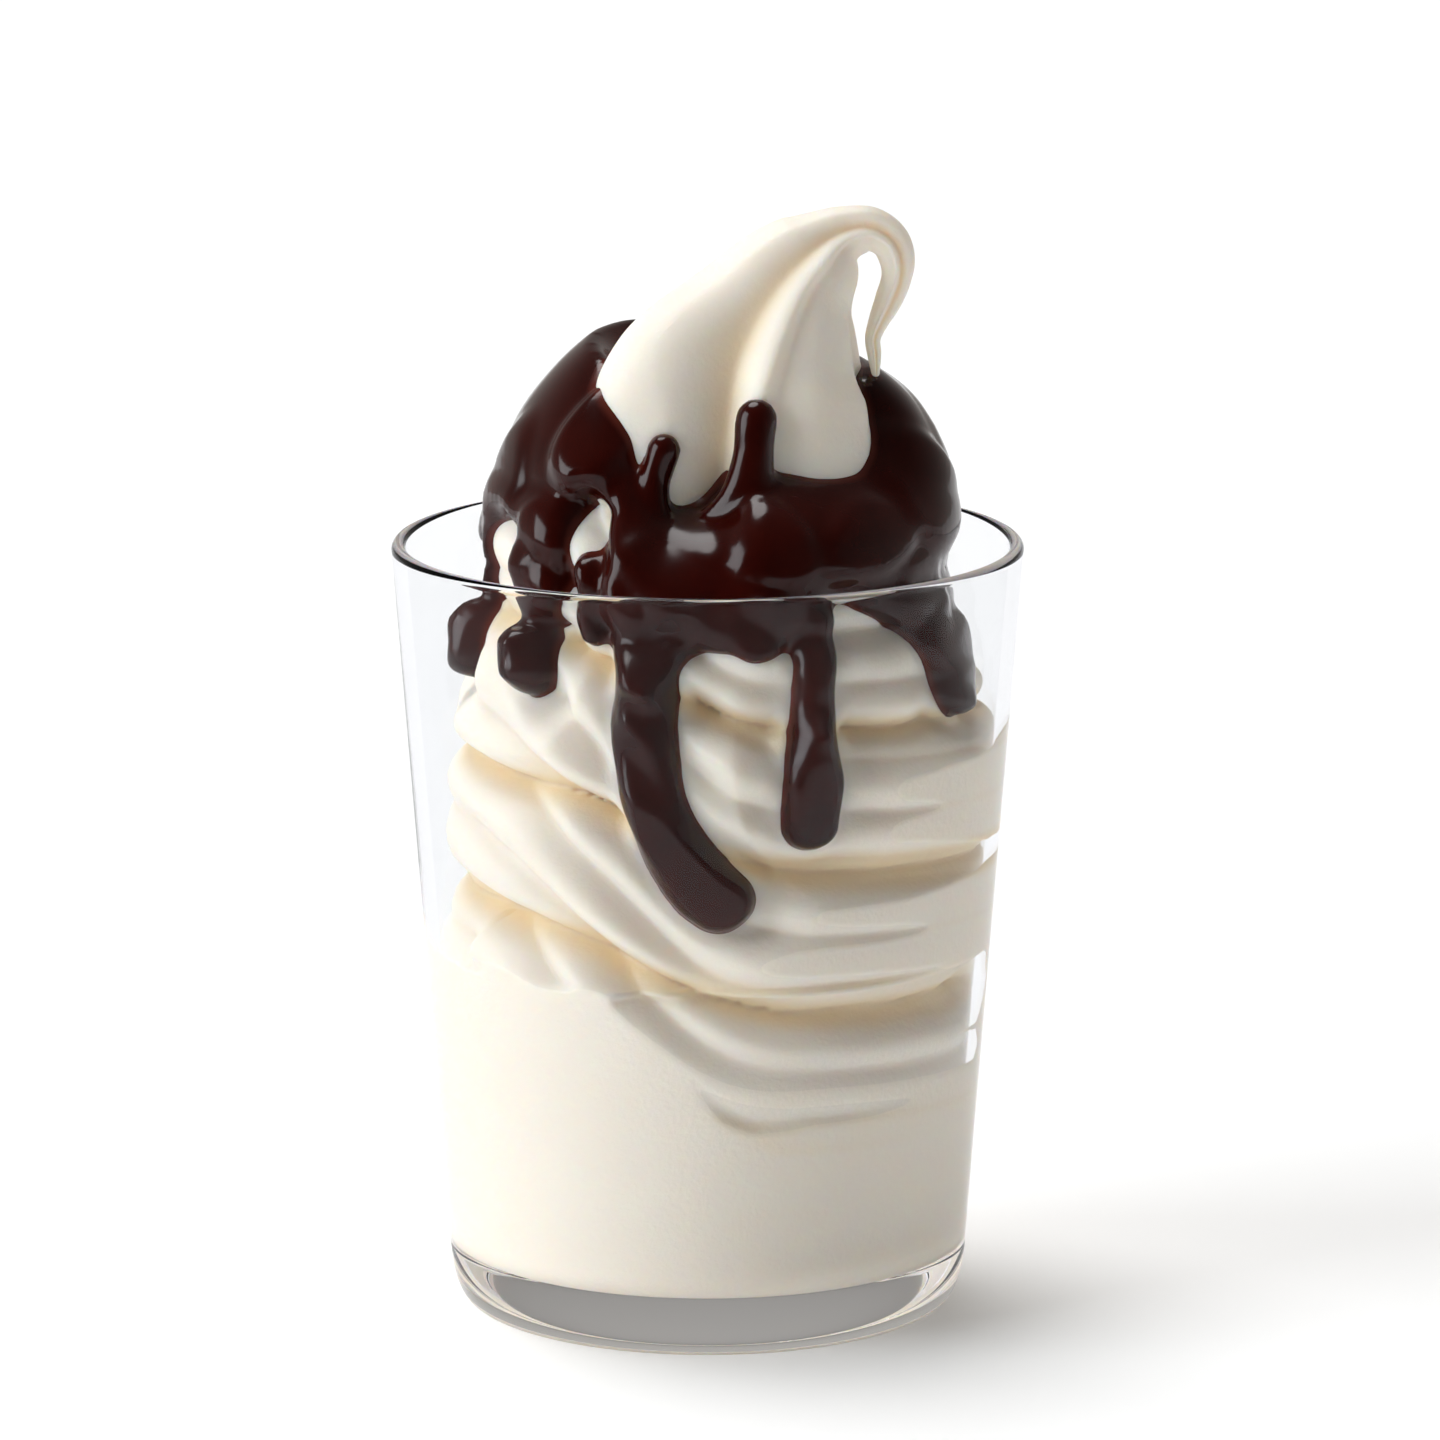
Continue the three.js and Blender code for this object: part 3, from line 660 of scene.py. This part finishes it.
# Azimuth and height of the layer's lower edge, between its runs.
lower_edge = [
    (-180, 103), (-160, 108), (-140, 101), (-120, 107), (-104, 106), (-94, 106), (-88, 109),
    (-80, 111.5), (-70.5, 112.8), (-63, 111.5), (-56, 113), (-47, 114.5), (-43, 116.2), (-39, 118.2),
    (-36, 117.6), (-33, 115.6), (-30.5, 110.5), (-28, 104), (-25.5, 99), (-20, 97), (-12, 96.4),
    (-8.5, 97.4), (-4, 98.6), (3, 98.6), (8, 97.4), (12, 97.8), (17, 99.2), (22, 101), (27, 103),
    (31, 104.4), (35, 104.2), (38, 103.2), (45.5, 101.2), (50.5, 99.4), (57, 97), (70, 97), (84, 98),
    (96, 101), (118, 106), (140, 99), (160, 106), (180, 103),
]
skin_radius = 33.0  # mm, turns degrees into millimetres across the layer
steepest_edge = 6.0


def aside(azimuth, from_azimuth):
    return turned_from(azimuth, from_azimuth) * skin_radius


def inside_layer(azimuth, height):
    """Millimetres inside the layer, measured square to its edge."""
    rise = follow(lower_edge, azimuth + 0.5) - follow(lower_edge, azimuth - 0.5)
    steepness = np.minimum(np.abs(rise / aside(1, 0)), steepest_edge)
    return (height - follow(lower_edge, azimuth)) / np.sqrt(1 + steepness**2)


def inside_run(run_thickness, stations, azimuth, height):
    """Millimetres inside one run, and the run's thickness there."""
    best = np.full(np.shape(azimuth), -far_away)
    thick = np.zeros(np.shape(azimuth))
    for t in places_along(stations, 8):
        beside = aside(azimuth, station_value(stations, 0, t))
        above = height - station_value(stations, 1, t)
        here = station_value(stations, 2, t) - np.hypot(beside, above)
        nearer = here > best
        best[nearer] = here[nearer]
        thick[nearer] = run_thickness + station_value(stations, 3, t)
    return best, thick


print("inside the layer, down the front:", inside_layer(np.zeros(5), np.linspace(90, 120, 5)).round(1))

# %% Lobes, and everything together
web = 2.4  # mm, how softly drips grow out of the layer
# Folds and lobes on the layer: azimuth, height, half width, half height, tilt, how thick.
fudge_lobes = [
    (-41, 126, 9, 8, 15, 2.0), (-76, 118, 8, 9, 20, 0.9), (-56, 112, 6, 6, 0, 0.5),
    (-15, 108, 9, 7, 0, 0.7), (16, 111, 7, 7, -20, 0.8), (44, 112, 11, 5, 10, 0.9),
    (74, 116, 11, 9, -25, 1.4), (62, 104, 7, 6, -20, 0.6), (112, 121, 14, 9, 10, 0.9),
    (150, 112, 12, 8, 0, 0.9), (-172, 122, 16, 8, -10, 1.1), (-140, 112, 12, 7, 0, 0.7),
]


def soft_maximum(a, b):
    near = np.maximum(web - np.abs(a - b), 0) / web
    return np.maximum(a, b) + near * near * web / 4


def lobe_share(azimuth, height, lobe):
    """1 on a lobe, falling softly to 0 round it."""
    lobe_azimuth, lobe_height, half_width, half_height, tilt = lobe
    x, y = aside(azimuth, lobe_azimuth), height - lobe_height
    turned_x = x * cos(radians(tilt)) + y * sin(radians(tilt))
    turned_y = y * cos(radians(tilt)) - x * sin(radians(tilt))
    return 1 - smooth(0.65, 1.08, np.hypot(turned_x / half_width, turned_y / half_height))


def cover_at(azimuth, height):
    """Millimetres inside the fudge's outline, and the fudge's full depth there."""
    inside = inside_layer(azimuth, height)
    depth = np.full(np.shape(azimuth), fudge_depth)
    for run_thickness, stations in fudge_runs:
        in_run, thick = inside_run(run_thickness, stations, azimuth, height)
        mixed = smooth(-1, 1.5, in_run - inside)
        depth = depth * (1 - mixed) + thick * mixed
        inside = soft_maximum(inside, in_run)
    for *lobe, thick in fudge_lobes:
        depth = depth + thick * lobe_share(azimuth, height, lobe)
    return inside, depth


print("depth down the front:", cover_at(np.zeros(5), np.linspace(90, 120, 5))[1].round(1), "mm")

# %% The sheet of fudge
sheet_low = 56.0  # mm, below the lowest drip
sheet_top = 0.99  # share of the dome's height that the sheet goes up
lid_start = 0.86  # share of the rings that lie on the skin; the others close it over the dome
edge_width = 2.6  # mm over which the fudge rises to its depth
sunk = 1.3  # mm, how deep the sheet's rim is hidden in the ice cream
proud = 0.05  # mm, so that the edge itself lies just above the ice cream
filled = 0.7  # of the relief: fudge evens out the ridges it covers
sheet_room = 0.5  # mm between the sheet and the glass


def skin(azimuth, height, lift, fill):
    """Points of the pile's own skin, raised by lift, with this share of the relief filled up."""
    share = np.clip((height - dome_start) / (follow(shoulder_height, azimuth) - dome_start), 0, 1)
    even = fill * relief_at(azimuth, height)
    side = side_points(azimuth, height, lift + even, sheet_room)
    dome = dome_points(azimuth, share, lift + even * dome_relief(share))
    return np.where((height < dome_start)[:, None], side, dome)


def sheet_height(azimuth, share):
    top = dome_start + (follow(shoulder_height, azimuth) - dome_start) * sheet_top
    return sheet_low + (top - sheet_low) * np.clip(share / lid_start, 0, 1)


def place_sheet(azimuth, share):
    height = sheet_height(azimuth, share)
    inside, depth = cover_at(azimuth, height)
    round_in = np.clip(inside / edge_width, 0, 1)
    raised = depth * np.sqrt(1 - (1 - round_in) ** 2)
    lift = np.where(inside > 0, raised, np.maximum(inside, -sunk)) + proud
    points = skin(azimuth, height, lift, filled * smooth(-0.5, 3.5, inside))
    lid = np.clip((share - lid_start) / (1 - lid_start), 0, 1)[:, None]
    return points * (1 - lid) + np.array([dome_lean, 0, dome_middle]) * lid


fudge, azimuth, share = mould("hot_fudge_pour", 480, 260, place_sheet)
report(fudge)

# %% [markdown]
# The sheet still covers the whole pile. Where `cover_at` is well below zero there is no fudge,
# so those faces are deleted: they are selected in code, as one would by hand with a lasso. What
# is left is a thin skin with an open rim. Solidify gives it a wall inwards, into the ice cream,
# where it doesn't show, and closes the rim.

# %% Cut away what isn't fudge, and close the sheet
shell = 3.0  # mm inwards

kept = cover_at(azimuth, sheet_height(azimuth, share))[0] > -sunk
bare = [not kept[list(face.vertices)].any() for face in fudge.data.polygons]
bpy.ops.object.mode_set(mode="EDIT")
bpy.ops.mesh.select_all(action="DESELECT")
bpy.ops.object.mode_set(mode="OBJECT")
fudge.data.polygons.foreach_set("select", bare)
bpy.ops.object.mode_set(mode="EDIT")
bpy.ops.mesh.select_mode(type="FACE")
bpy.ops.mesh.delete(type="FACE")
bpy.ops.object.mode_set(mode="OBJECT")
closed = fudge.modifiers.new("closed", "SOLIDIFY")
closed.thickness = shell * MM
closed.offset = -1
bpy.ops.object.modifier_apply(modifier=closed.name)
report(fudge)

# %% [markdown]
# Two tongues of fudge stand up the tip, where the pour first met it. They lie on another skin
# than the sheet does, so they are spheres of their own, drawn out along a few stations on the
# tip like the runs on the pile. Half of each is inside the ice cream, which makes its edge.

# %% The tongues that stand up the tip
fudge_tongues = [
    (2.0, [(-1, 113, 7), (0.6, 118, 4), (1.6, 124, 2.8), (1.6, 128.2, 2.9)]),
    (1.8, [(-37, 114, 5), (-35, 120, 2), (-34, 124, 2.3)]),
]
low_tip = tip_stations[:6]  # the part where the spine rises almost straight
tongue_root, tongue_end = 0.05, 0.8  # shares of the rings where the root ends and the end starts
tongue_extra = 0.6  # mm added to the thickness, as a round section looks thinner than it is


def tip_surface(azimuth, height):
    """Points on the tip's skin, low on the tip."""
    middle = follow([(z, x) for x, z, r in low_tip], height)
    radius = follow([(z, r) for x, z, r in low_tip], height)
    reach = tip_reach(azimuth, height, radius)
    angle = np.radians(azimuth)
    return np.column_stack([middle + reach * np.sin(angle), tip_forward - reach * np.cos(angle), height])


def place_tongue(thickness, stations, azimuth, share):
    """Each ring of the sphere lies across the tongue; half of it is inside the tip."""
    last = len(stations) - 1
    t = np.clip((share - tongue_root) / (tongue_end - tongue_root), 0, 1) * last

    def middle(at):
        return tip_surface(station_value(stations, 0, at), station_value(stations, 1, at))

    along = middle(np.minimum(t + 0.1, last)) - middle(np.maximum(t - 0.1, 0))
    along /= np.linalg.norm(along, axis=1)[:, None]
    angle = np.radians(station_value(stations, 0, t))
    outward = np.column_stack([np.sin(angle), -np.cos(angle), np.zeros(len(t))])
    outward -= along * np.sum(outward * along, axis=1)[:, None]
    outward /= np.linalg.norm(outward, axis=1)[:, None]
    across = np.cross(outward, along)
    half_width = station_value(stations, 2, t)
    end = radians(90) * np.clip((share - tongue_end) / (1 - tongue_end), 0, 1)
    start = np.clip(share / tongue_root, 0, 1)
    turn = np.radians(azimuth)
    wide = half_width * np.cos(end) * start * np.sin(turn)
    deep = (thickness + tongue_extra) * np.cos(end) * start * -np.cos(turn)
    push = half_width * np.sin(end)
    return middle(t) + across * wide[:, None] + outward * deep[:, None] + along * push[:, None]


def make_tongue(number, thickness, stations):
    def place(azimuth, share):
        return place_tongue(thickness, stations, azimuth, share)

    return mould(f"fudge_tongue_{number}", 32, 48, place)[0]


tongues = [make_tongue(number, *tongue) for number, tongue in enumerate(fudge_tongues, 1)]
print(len(tongues), "tongues moulded")

# %% [markdown]
# Sheet and tongues are joined to one object, but their skins still run through each other. A
# voxel remesh lays one new, even skin round all of it, and its small steps are smoothed off.
# Boolean union would keep the sharp line where a tongue leaves the sheet, and there a liquid
# is always round. A smaller voxel gives finer forms and many more faces: this one keeps the
# piece under 200,000 triangles.

# %% One skin
fudge_voxel = 0.62  # mm
rounding_factor, rounding_times = 0.5, 3
fudge_room = 0.3  # mm at least between the finished fudge and the glass

bpy.ops.object.select_all(action="DESELECT")
for part in [fudge, *tongues]:
    part.select_set(True)
bpy.context.view_layer.objects.active = fudge
bpy.ops.object.join()
remesh = fudge.modifiers.new("one_skin", "REMESH")
remesh.mode = "VOXEL"
remesh.voxel_size = fudge_voxel * MM
remesh.use_smooth_shade = True
bpy.ops.object.modifier_apply(modifier=remesh.name)
rounding = fudge.modifiers.new("rounding", "SMOOTH")
rounding.factor = rounding_factor
rounding.iterations = rounding_times
bpy.ops.object.modifier_apply(modifier=rounding.name)
set_points(fudge, held_inside(points_of(fudge), fudge_room))
bpy.ops.object.shade_smooth()
report(fudge)

# %% How thick the fudge is
cream_points = np.vstack([points_of(pile), points_of(tip)])
cream_faces = [list(face.vertices) for face in pile.data.polygons]
first_of_tip = len(pile.data.vertices)
cream_faces += [[first_of_tip + i for i in face.vertices] for face in tip.data.polygons]
cream_skin = BVHTree.FromPolygons(cream_points.tolist(), cream_faces)
thickness = [cream_skin.find_nearest(point)[3] for point in points_of(fudge).tolist()]
note_values(fudge, "thickness", thickness)
print("fudge up to", round(max(thickness), 1), "mm off the ice cream")

# %% [markdown]
# ## Glass
#
# Clear glass both bends and mirrors light, and the Fresnel factor says how much of each. The
# glass of the Principled shader does the same, but here the mirrored share is raised to a power
# above 1, which holds it back where one looks straight at the wall: the fudge behind it stays
# dark, while the edges stay bright. Lamps can't shine through bending glass without noise, so
# rays that only ask how much light arrives pass through as if the glass weren't there, by the
# Light Path node.

# %% Nodes with their values
def new_material(name):
    material = bpy.data.materials.new(name)
    material.use_nodes = True
    return material, material.node_tree.nodes


def set_input(socket, value):
    """Gives an input its value, or links another node's output to it."""
    if isinstance(value, bpy.types.NodeSocket):
        socket.node.id_data.links.new(value, socket)
    else:
        socket.default_value = value


def set_inputs(node, **values):
    """Sets a node's inputs by name; From_Min stands for the input From Min."""
    for name, value in values.items():
        set_input(node.inputs[name.replace("_", " ")], value)


def add_node(nodes, kind, **values):
    node = nodes.new("ShaderNode" + kind)
    set_inputs(node, **values)
    return node


def add_math(nodes, operation, first, second):
    node = nodes.new("ShaderNodeMath")
    node.operation = operation
    set_input(node.inputs[0], first)
    set_input(node.inputs[1], second)
    return node.outputs["Value"]


def add_shader_mix(nodes, share, first, second):
    node = nodes.new("ShaderNodeMixShader")
    for socket, source in zip(node.inputs, (share, first, second)):
        set_input(socket, source)
    return node.outputs["Shader"]


def add_colour_mix(nodes, blend, **values):
    node = nodes.new("ShaderNodeMix")
    node.data_type = "RGBA"
    node.blend_type = blend
    set_inputs(node, **values)
    return node.outputs["Result"]


def add_step(nodes, kind, **values):
    """Takes a value from one range to another, in a straight line or a soft step."""
    node = nodes.new("ShaderNodeMapRange")
    node.interpolation_type = kind
    set_inputs(node, **values)
    return node.outputs["Result"]


glass_material, nodes = new_material("polished_glass")
print(glass_material.name, "starts as", [node.name for node in nodes])

# %% Glass material
glass_ior = 1.5
glass_tint = (0.962, 0.965, 0.97, 1)
mirror_tint = (0.96, 0.96, 0.97, 1)
shadow_tint = (0.97, 0.97, 0.97, 1)
mirror_power = 1.65

nodes.remove(nodes["Principled BSDF"])
bent = add_node(nodes, "BsdfRefraction", Color=glass_tint, Roughness=0, IOR=glass_ior)
mirrored = add_node(nodes, "BsdfGlossy", Color=mirror_tint, Roughness=0)
fresnel = add_node(nodes, "Fresnel", IOR=glass_ior)
mirror_share = add_math(nodes, "POWER", fresnel.outputs["Fac"], mirror_power)
seen_glass = add_shader_mix(nodes, mirror_share, bent.outputs["BSDF"], mirrored.outputs["BSDF"])
clear = add_node(nodes, "BsdfTransparent", Color=shadow_tint)
path = add_node(nodes, "LightPath")
only_light = add_math(nodes, "MAXIMUM", path.outputs["Is Shadow Ray"], path.outputs["Is Diffuse Ray"])
lit_glass = add_shader_mix(nodes, only_light, seen_glass, clear.outputs["BSDF"])
set_inputs(nodes["Material Output"], Surface=lit_glass)
glass.data.materials.append(glass_material)
print(glass_material.name, "is on", glass.name)

# %% [markdown]
# ## Ice cream
#
# Soft serve is full of air and fat, so light goes in, wanders a few millimetres and comes out
# warmer. Subsurface scattering does that, and keeps the shaded side soft. Two creams mix in
# soft blotches, because no real scoop has one flat colour. In the creases light is caught
# between cream and cream and turns dim and yellow. That shade is painted: the `crease_shade` value
# kept at each point makes the colour there darker and warmer.
# The icy grain is far too fine to model, so a fine noise bumps the surface.

# %% Its body
serve_material, nodes = new_material("ice_cream")
shader = nodes["Principled BSDF"]
set_inputs(shader, Roughness=0.48, Specular_IOR_Level=0.3, Subsurface_Weight=0.7)
set_inputs(shader, Subsurface_Radius=(1.0, 0.7, 0.4), Subsurface_Scale=3 * MM)
print("light wanders up to", round(shader.inputs["Subsurface Scale"].default_value / MM, 2), "mm")

# %% Its colours, and the painted shade in its creases
pale_cream = (0.92, 0.86, 0.775, 1)
rich_cream = (0.91, 0.835, 0.73, 1)
# Painted shade: the darker, warmer colour that stands in for the dim yellow light caught in the creases.
painted_crease_shade = (0.84, 0.66, 0.40, 1)

serve_place = add_node(nodes, "TexCoord").outputs["Object"]
blotches = add_node(nodes, "TexNoise", Vector=serve_place, Scale=90, Detail=3)
cream = add_colour_mix(nodes, "MIX", Factor=blotches.outputs["Fac"], A=pale_cream, B=rich_cream)
# The crease value read here places the painted shade.
crease_shade = add_node(nodes, "Attribute")
crease_shade.attribute_name = "crease_shade"
crease_shade_share = add_step(
    nodes, "SMOOTHSTEP", Value=crease_shade.outputs["Fac"], From_Min=0.25, From_Max=1.0, To_Max=0.85)
cream_with_crease_shade = add_colour_mix(nodes, "MIX", Factor=crease_shade_share, A=cream, B=painted_crease_shade)
set_inputs(shader, Base_Color=cream_with_crease_shade)
print("creases turn", painted_crease_shade[:3])

# %% Its icy grain
grain = add_node(nodes, "TexNoise", Vector=serve_place, Scale=900, Detail=4, Roughness=0.6)
bump = add_node(nodes, "Bump", Height=grain.outputs["Fac"], Strength=0.5, Distance=0.25 * MM)
set_inputs(shader, Normal=bump.outputs["Normal"])
for piece in (pile, tip):
    piece.data.materials.append(serve_material)
print(serve_material.name, "is on", pile.name, "and", tip.name)

# %% [markdown]
# ## Hot fudge
#
# Fudge is almost black where it lies thick and red-brown where it thins out to its edge. Real
# absorption inside a closed mesh could give that, but it needs many samples, and the mesh also
# reaches into the ice cream. So the `thickness` kept at each point picks the brown. A broad
# noise makes it a little lighter and darker in streaks, as a stirred sauce is. Its gloss comes
# from a low roughness.

# %% Fudge material
thin_brown = (0.075, 0.014, 0.009, 1)
thick_brown = (0.023, 0.0018, 0.0009, 1)

fudge_material, nodes = new_material("glossy_fudge")
shader = nodes["Principled BSDF"]
set_inputs(shader, Roughness=0.15, IOR=1.48, Specular_IOR_Level=0.25)
layer = add_node(nodes, "Attribute")
layer.attribute_name = "thickness"
thick_share = add_step(nodes, "SMOOTHSTEP", Value=layer.outputs["Fac"], From_Min=0.1, From_Max=1.2)
brown = add_colour_mix(nodes, "MIX", Factor=thick_share, A=thin_brown, B=thick_brown)
fudge_place = add_node(nodes, "TexCoord").outputs["Object"]
streaks = add_node(nodes, "TexNoise", Vector=fudge_place, Scale=70, Detail=3)
tone = add_step(
    nodes, "LINEAR", Value=streaks.outputs["Fac"], From_Min=0.35, From_Max=0.65, To_Min=0.75, To_Max=1.35)
streaked_brown = add_colour_mix(nodes, "MULTIPLY", Factor=1.0, A=brown, B=tone)
set_inputs(shader, Base_Color=streaked_brown)
fudge.data.materials.clear()
fudge.data.materials.append(fudge_material)
print(fudge_material.name, "is on", fudge.name)

# %% [markdown]
# ## Floor and light
#
# The sundae stands on a white sweep, so bright that floor and background run into each other.
# A plane that goes on far behind it does that without a bent backdrop. It glows a little, as
# bounced studio light would make it, so that it stays white and still takes a soft shadow.

# %% Floor
floor_size = 14.0  # metres
floor_behind = 3.0  # metres that its middle lies behind the sundae
floor_white = (0.93, 0.93, 0.93, 1)
floor_glow = 0.14

bpy.ops.object.select_all(action="DESELECT")
bpy.ops.mesh.primitive_plane_add(size=floor_size, location=(0, floor_behind, 0))
floor = bpy.context.object
floor.name = "studio_floor"
floor_material, nodes = new_material("white_floor")
shader = nodes["Principled BSDF"]
set_inputs(shader, Base_Color=floor_white, Roughness=0.8, Specular_IOR_Level=0.0)
set_inputs(shader, Emission_Color=(1, 1, 1, 1), Emission_Strength=floor_glow)
floor.data.materials.append(floor_material)
print(floor.name, "is", floor_size, "m wide")

# %% [markdown]
# The main light is a large, slightly cool softbox at the left, a little in front. It gives the
# fudge its highlights and the shadow at the right its soft edge. A second, very wide light from
# above and behind opens the top of the ice cream. It could be another area lamp, but a sun with
# a wide angle lights everything evenly and shows no lamp in the glass.

# %% Lamps
key_place = Vector((-4.5, -1.6, 2.2))  # metres
key_target = Vector((0, 0, 0.08))
key_size = 3.2
key_power = 200.0
cool_white = (0.93, 0.97, 1.0)
overhead_angle = 34.0  # degrees that the light is spread over
overhead_power = 2.05
overhead_tilt = (-14.0, -11.0)  # degrees, about X and Y

bpy.ops.object.light_add(type="AREA", location=key_place)
key = bpy.context.object
key.name = "key_softbox"
key.data.shape = "RECTANGLE"
key.data.size = key_size
key.data.size_y = key_size
key.data.energy = key_power
key.data.color = cool_white
key.rotation_euler = (key_target - key_place).to_track_quat("-Z", "Y").to_euler()
bpy.ops.object.light_add(type="SUN", location=(0, 0, 3))
overhead = bpy.context.object
overhead.name = "overhead_light"
overhead.data.angle = radians(overhead_angle)
overhead.data.energy = overhead_power
overhead.rotation_euler = (radians(overhead_tilt[0]), radians(overhead_tilt[1]), 0)
print("lamps:", key.name, overhead.name)

# %% [markdown]
# Glass has no colour of its own: it shows the room. So the room behind the sundae is bright,
# and the room overhead and on the near side is dim. The glass then looks white and clear, and
# its rim and edges get their thin grey lines. Two steps on the direction that a ray looks in
# make this room, one going up and one going back.

# %% A bright room behind, a dim one in front
warm_white = (1, 0.96, 0.905, 1)
low_light, high_light = 0.56, 0.13
near_light, far_light = 0.08, 1.0

world = bpy.data.worlds.new("white_room")
bpy.context.scene.world = world
world.use_nodes = True
nodes = world.node_tree.nodes
direction = add_node(nodes, "TexCoord").outputs["Generated"]
axes = add_node(nodes, "SeparateXYZ", Vector=direction).outputs
upward = add_step(
    nodes, "LINEAR", Value=axes["Z"], From_Min=-0.1, From_Max=0.8, To_Min=low_light, To_Max=high_light)
backward = add_step(
    nodes, "LINEAR", Value=axes["Y"], From_Min=-0.9, From_Max=0.2, To_Min=near_light, To_Max=far_light)
room_light = add_math(nodes, "MULTIPLY", upward, backward)
set_inputs(nodes["Background"], Color=warm_white, Strength=room_light)
print("the room is lit from", low_light, "at the floor to", high_light, "overhead")

# %% [markdown]
# A ray that enters the thick base of the glass is mirrored inside it again and again. Where it
# may not go on it counts as black, so glass needs more bounces than other scenes do. The
# Standard view keeps white white: the usual one would grey the background.

# %% How far light is followed, and the view
glass_bounces, mirror_bounces = 48, 24

cycles = bpy.context.scene.cycles
cycles.max_bounces = glass_bounces
cycles.transmission_bounces = glass_bounces
cycles.glossy_bounces = mirror_bounces
bpy.context.scene.view_settings.view_transform = "Standard"
print("a ray may bounce", cycles.max_bounces, "times")

# %% [markdown]
# ## In place of the CAD solids
#
# Each piece follows the frame's root and stands in for one CAD solid, which is hidden.

# %% What each piece stands in for
for piece, node, slot in (
    (glass, "glass_tumbler", "clear_glass"),
    (pile, "soft_serve", "vanilla_soft_serve"),
    (tip, "soft_serve", "vanilla_soft_serve"),
    (fudge, "hot_fudge", "hot_fudge"),
):
    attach(piece, "root")
    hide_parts(node)
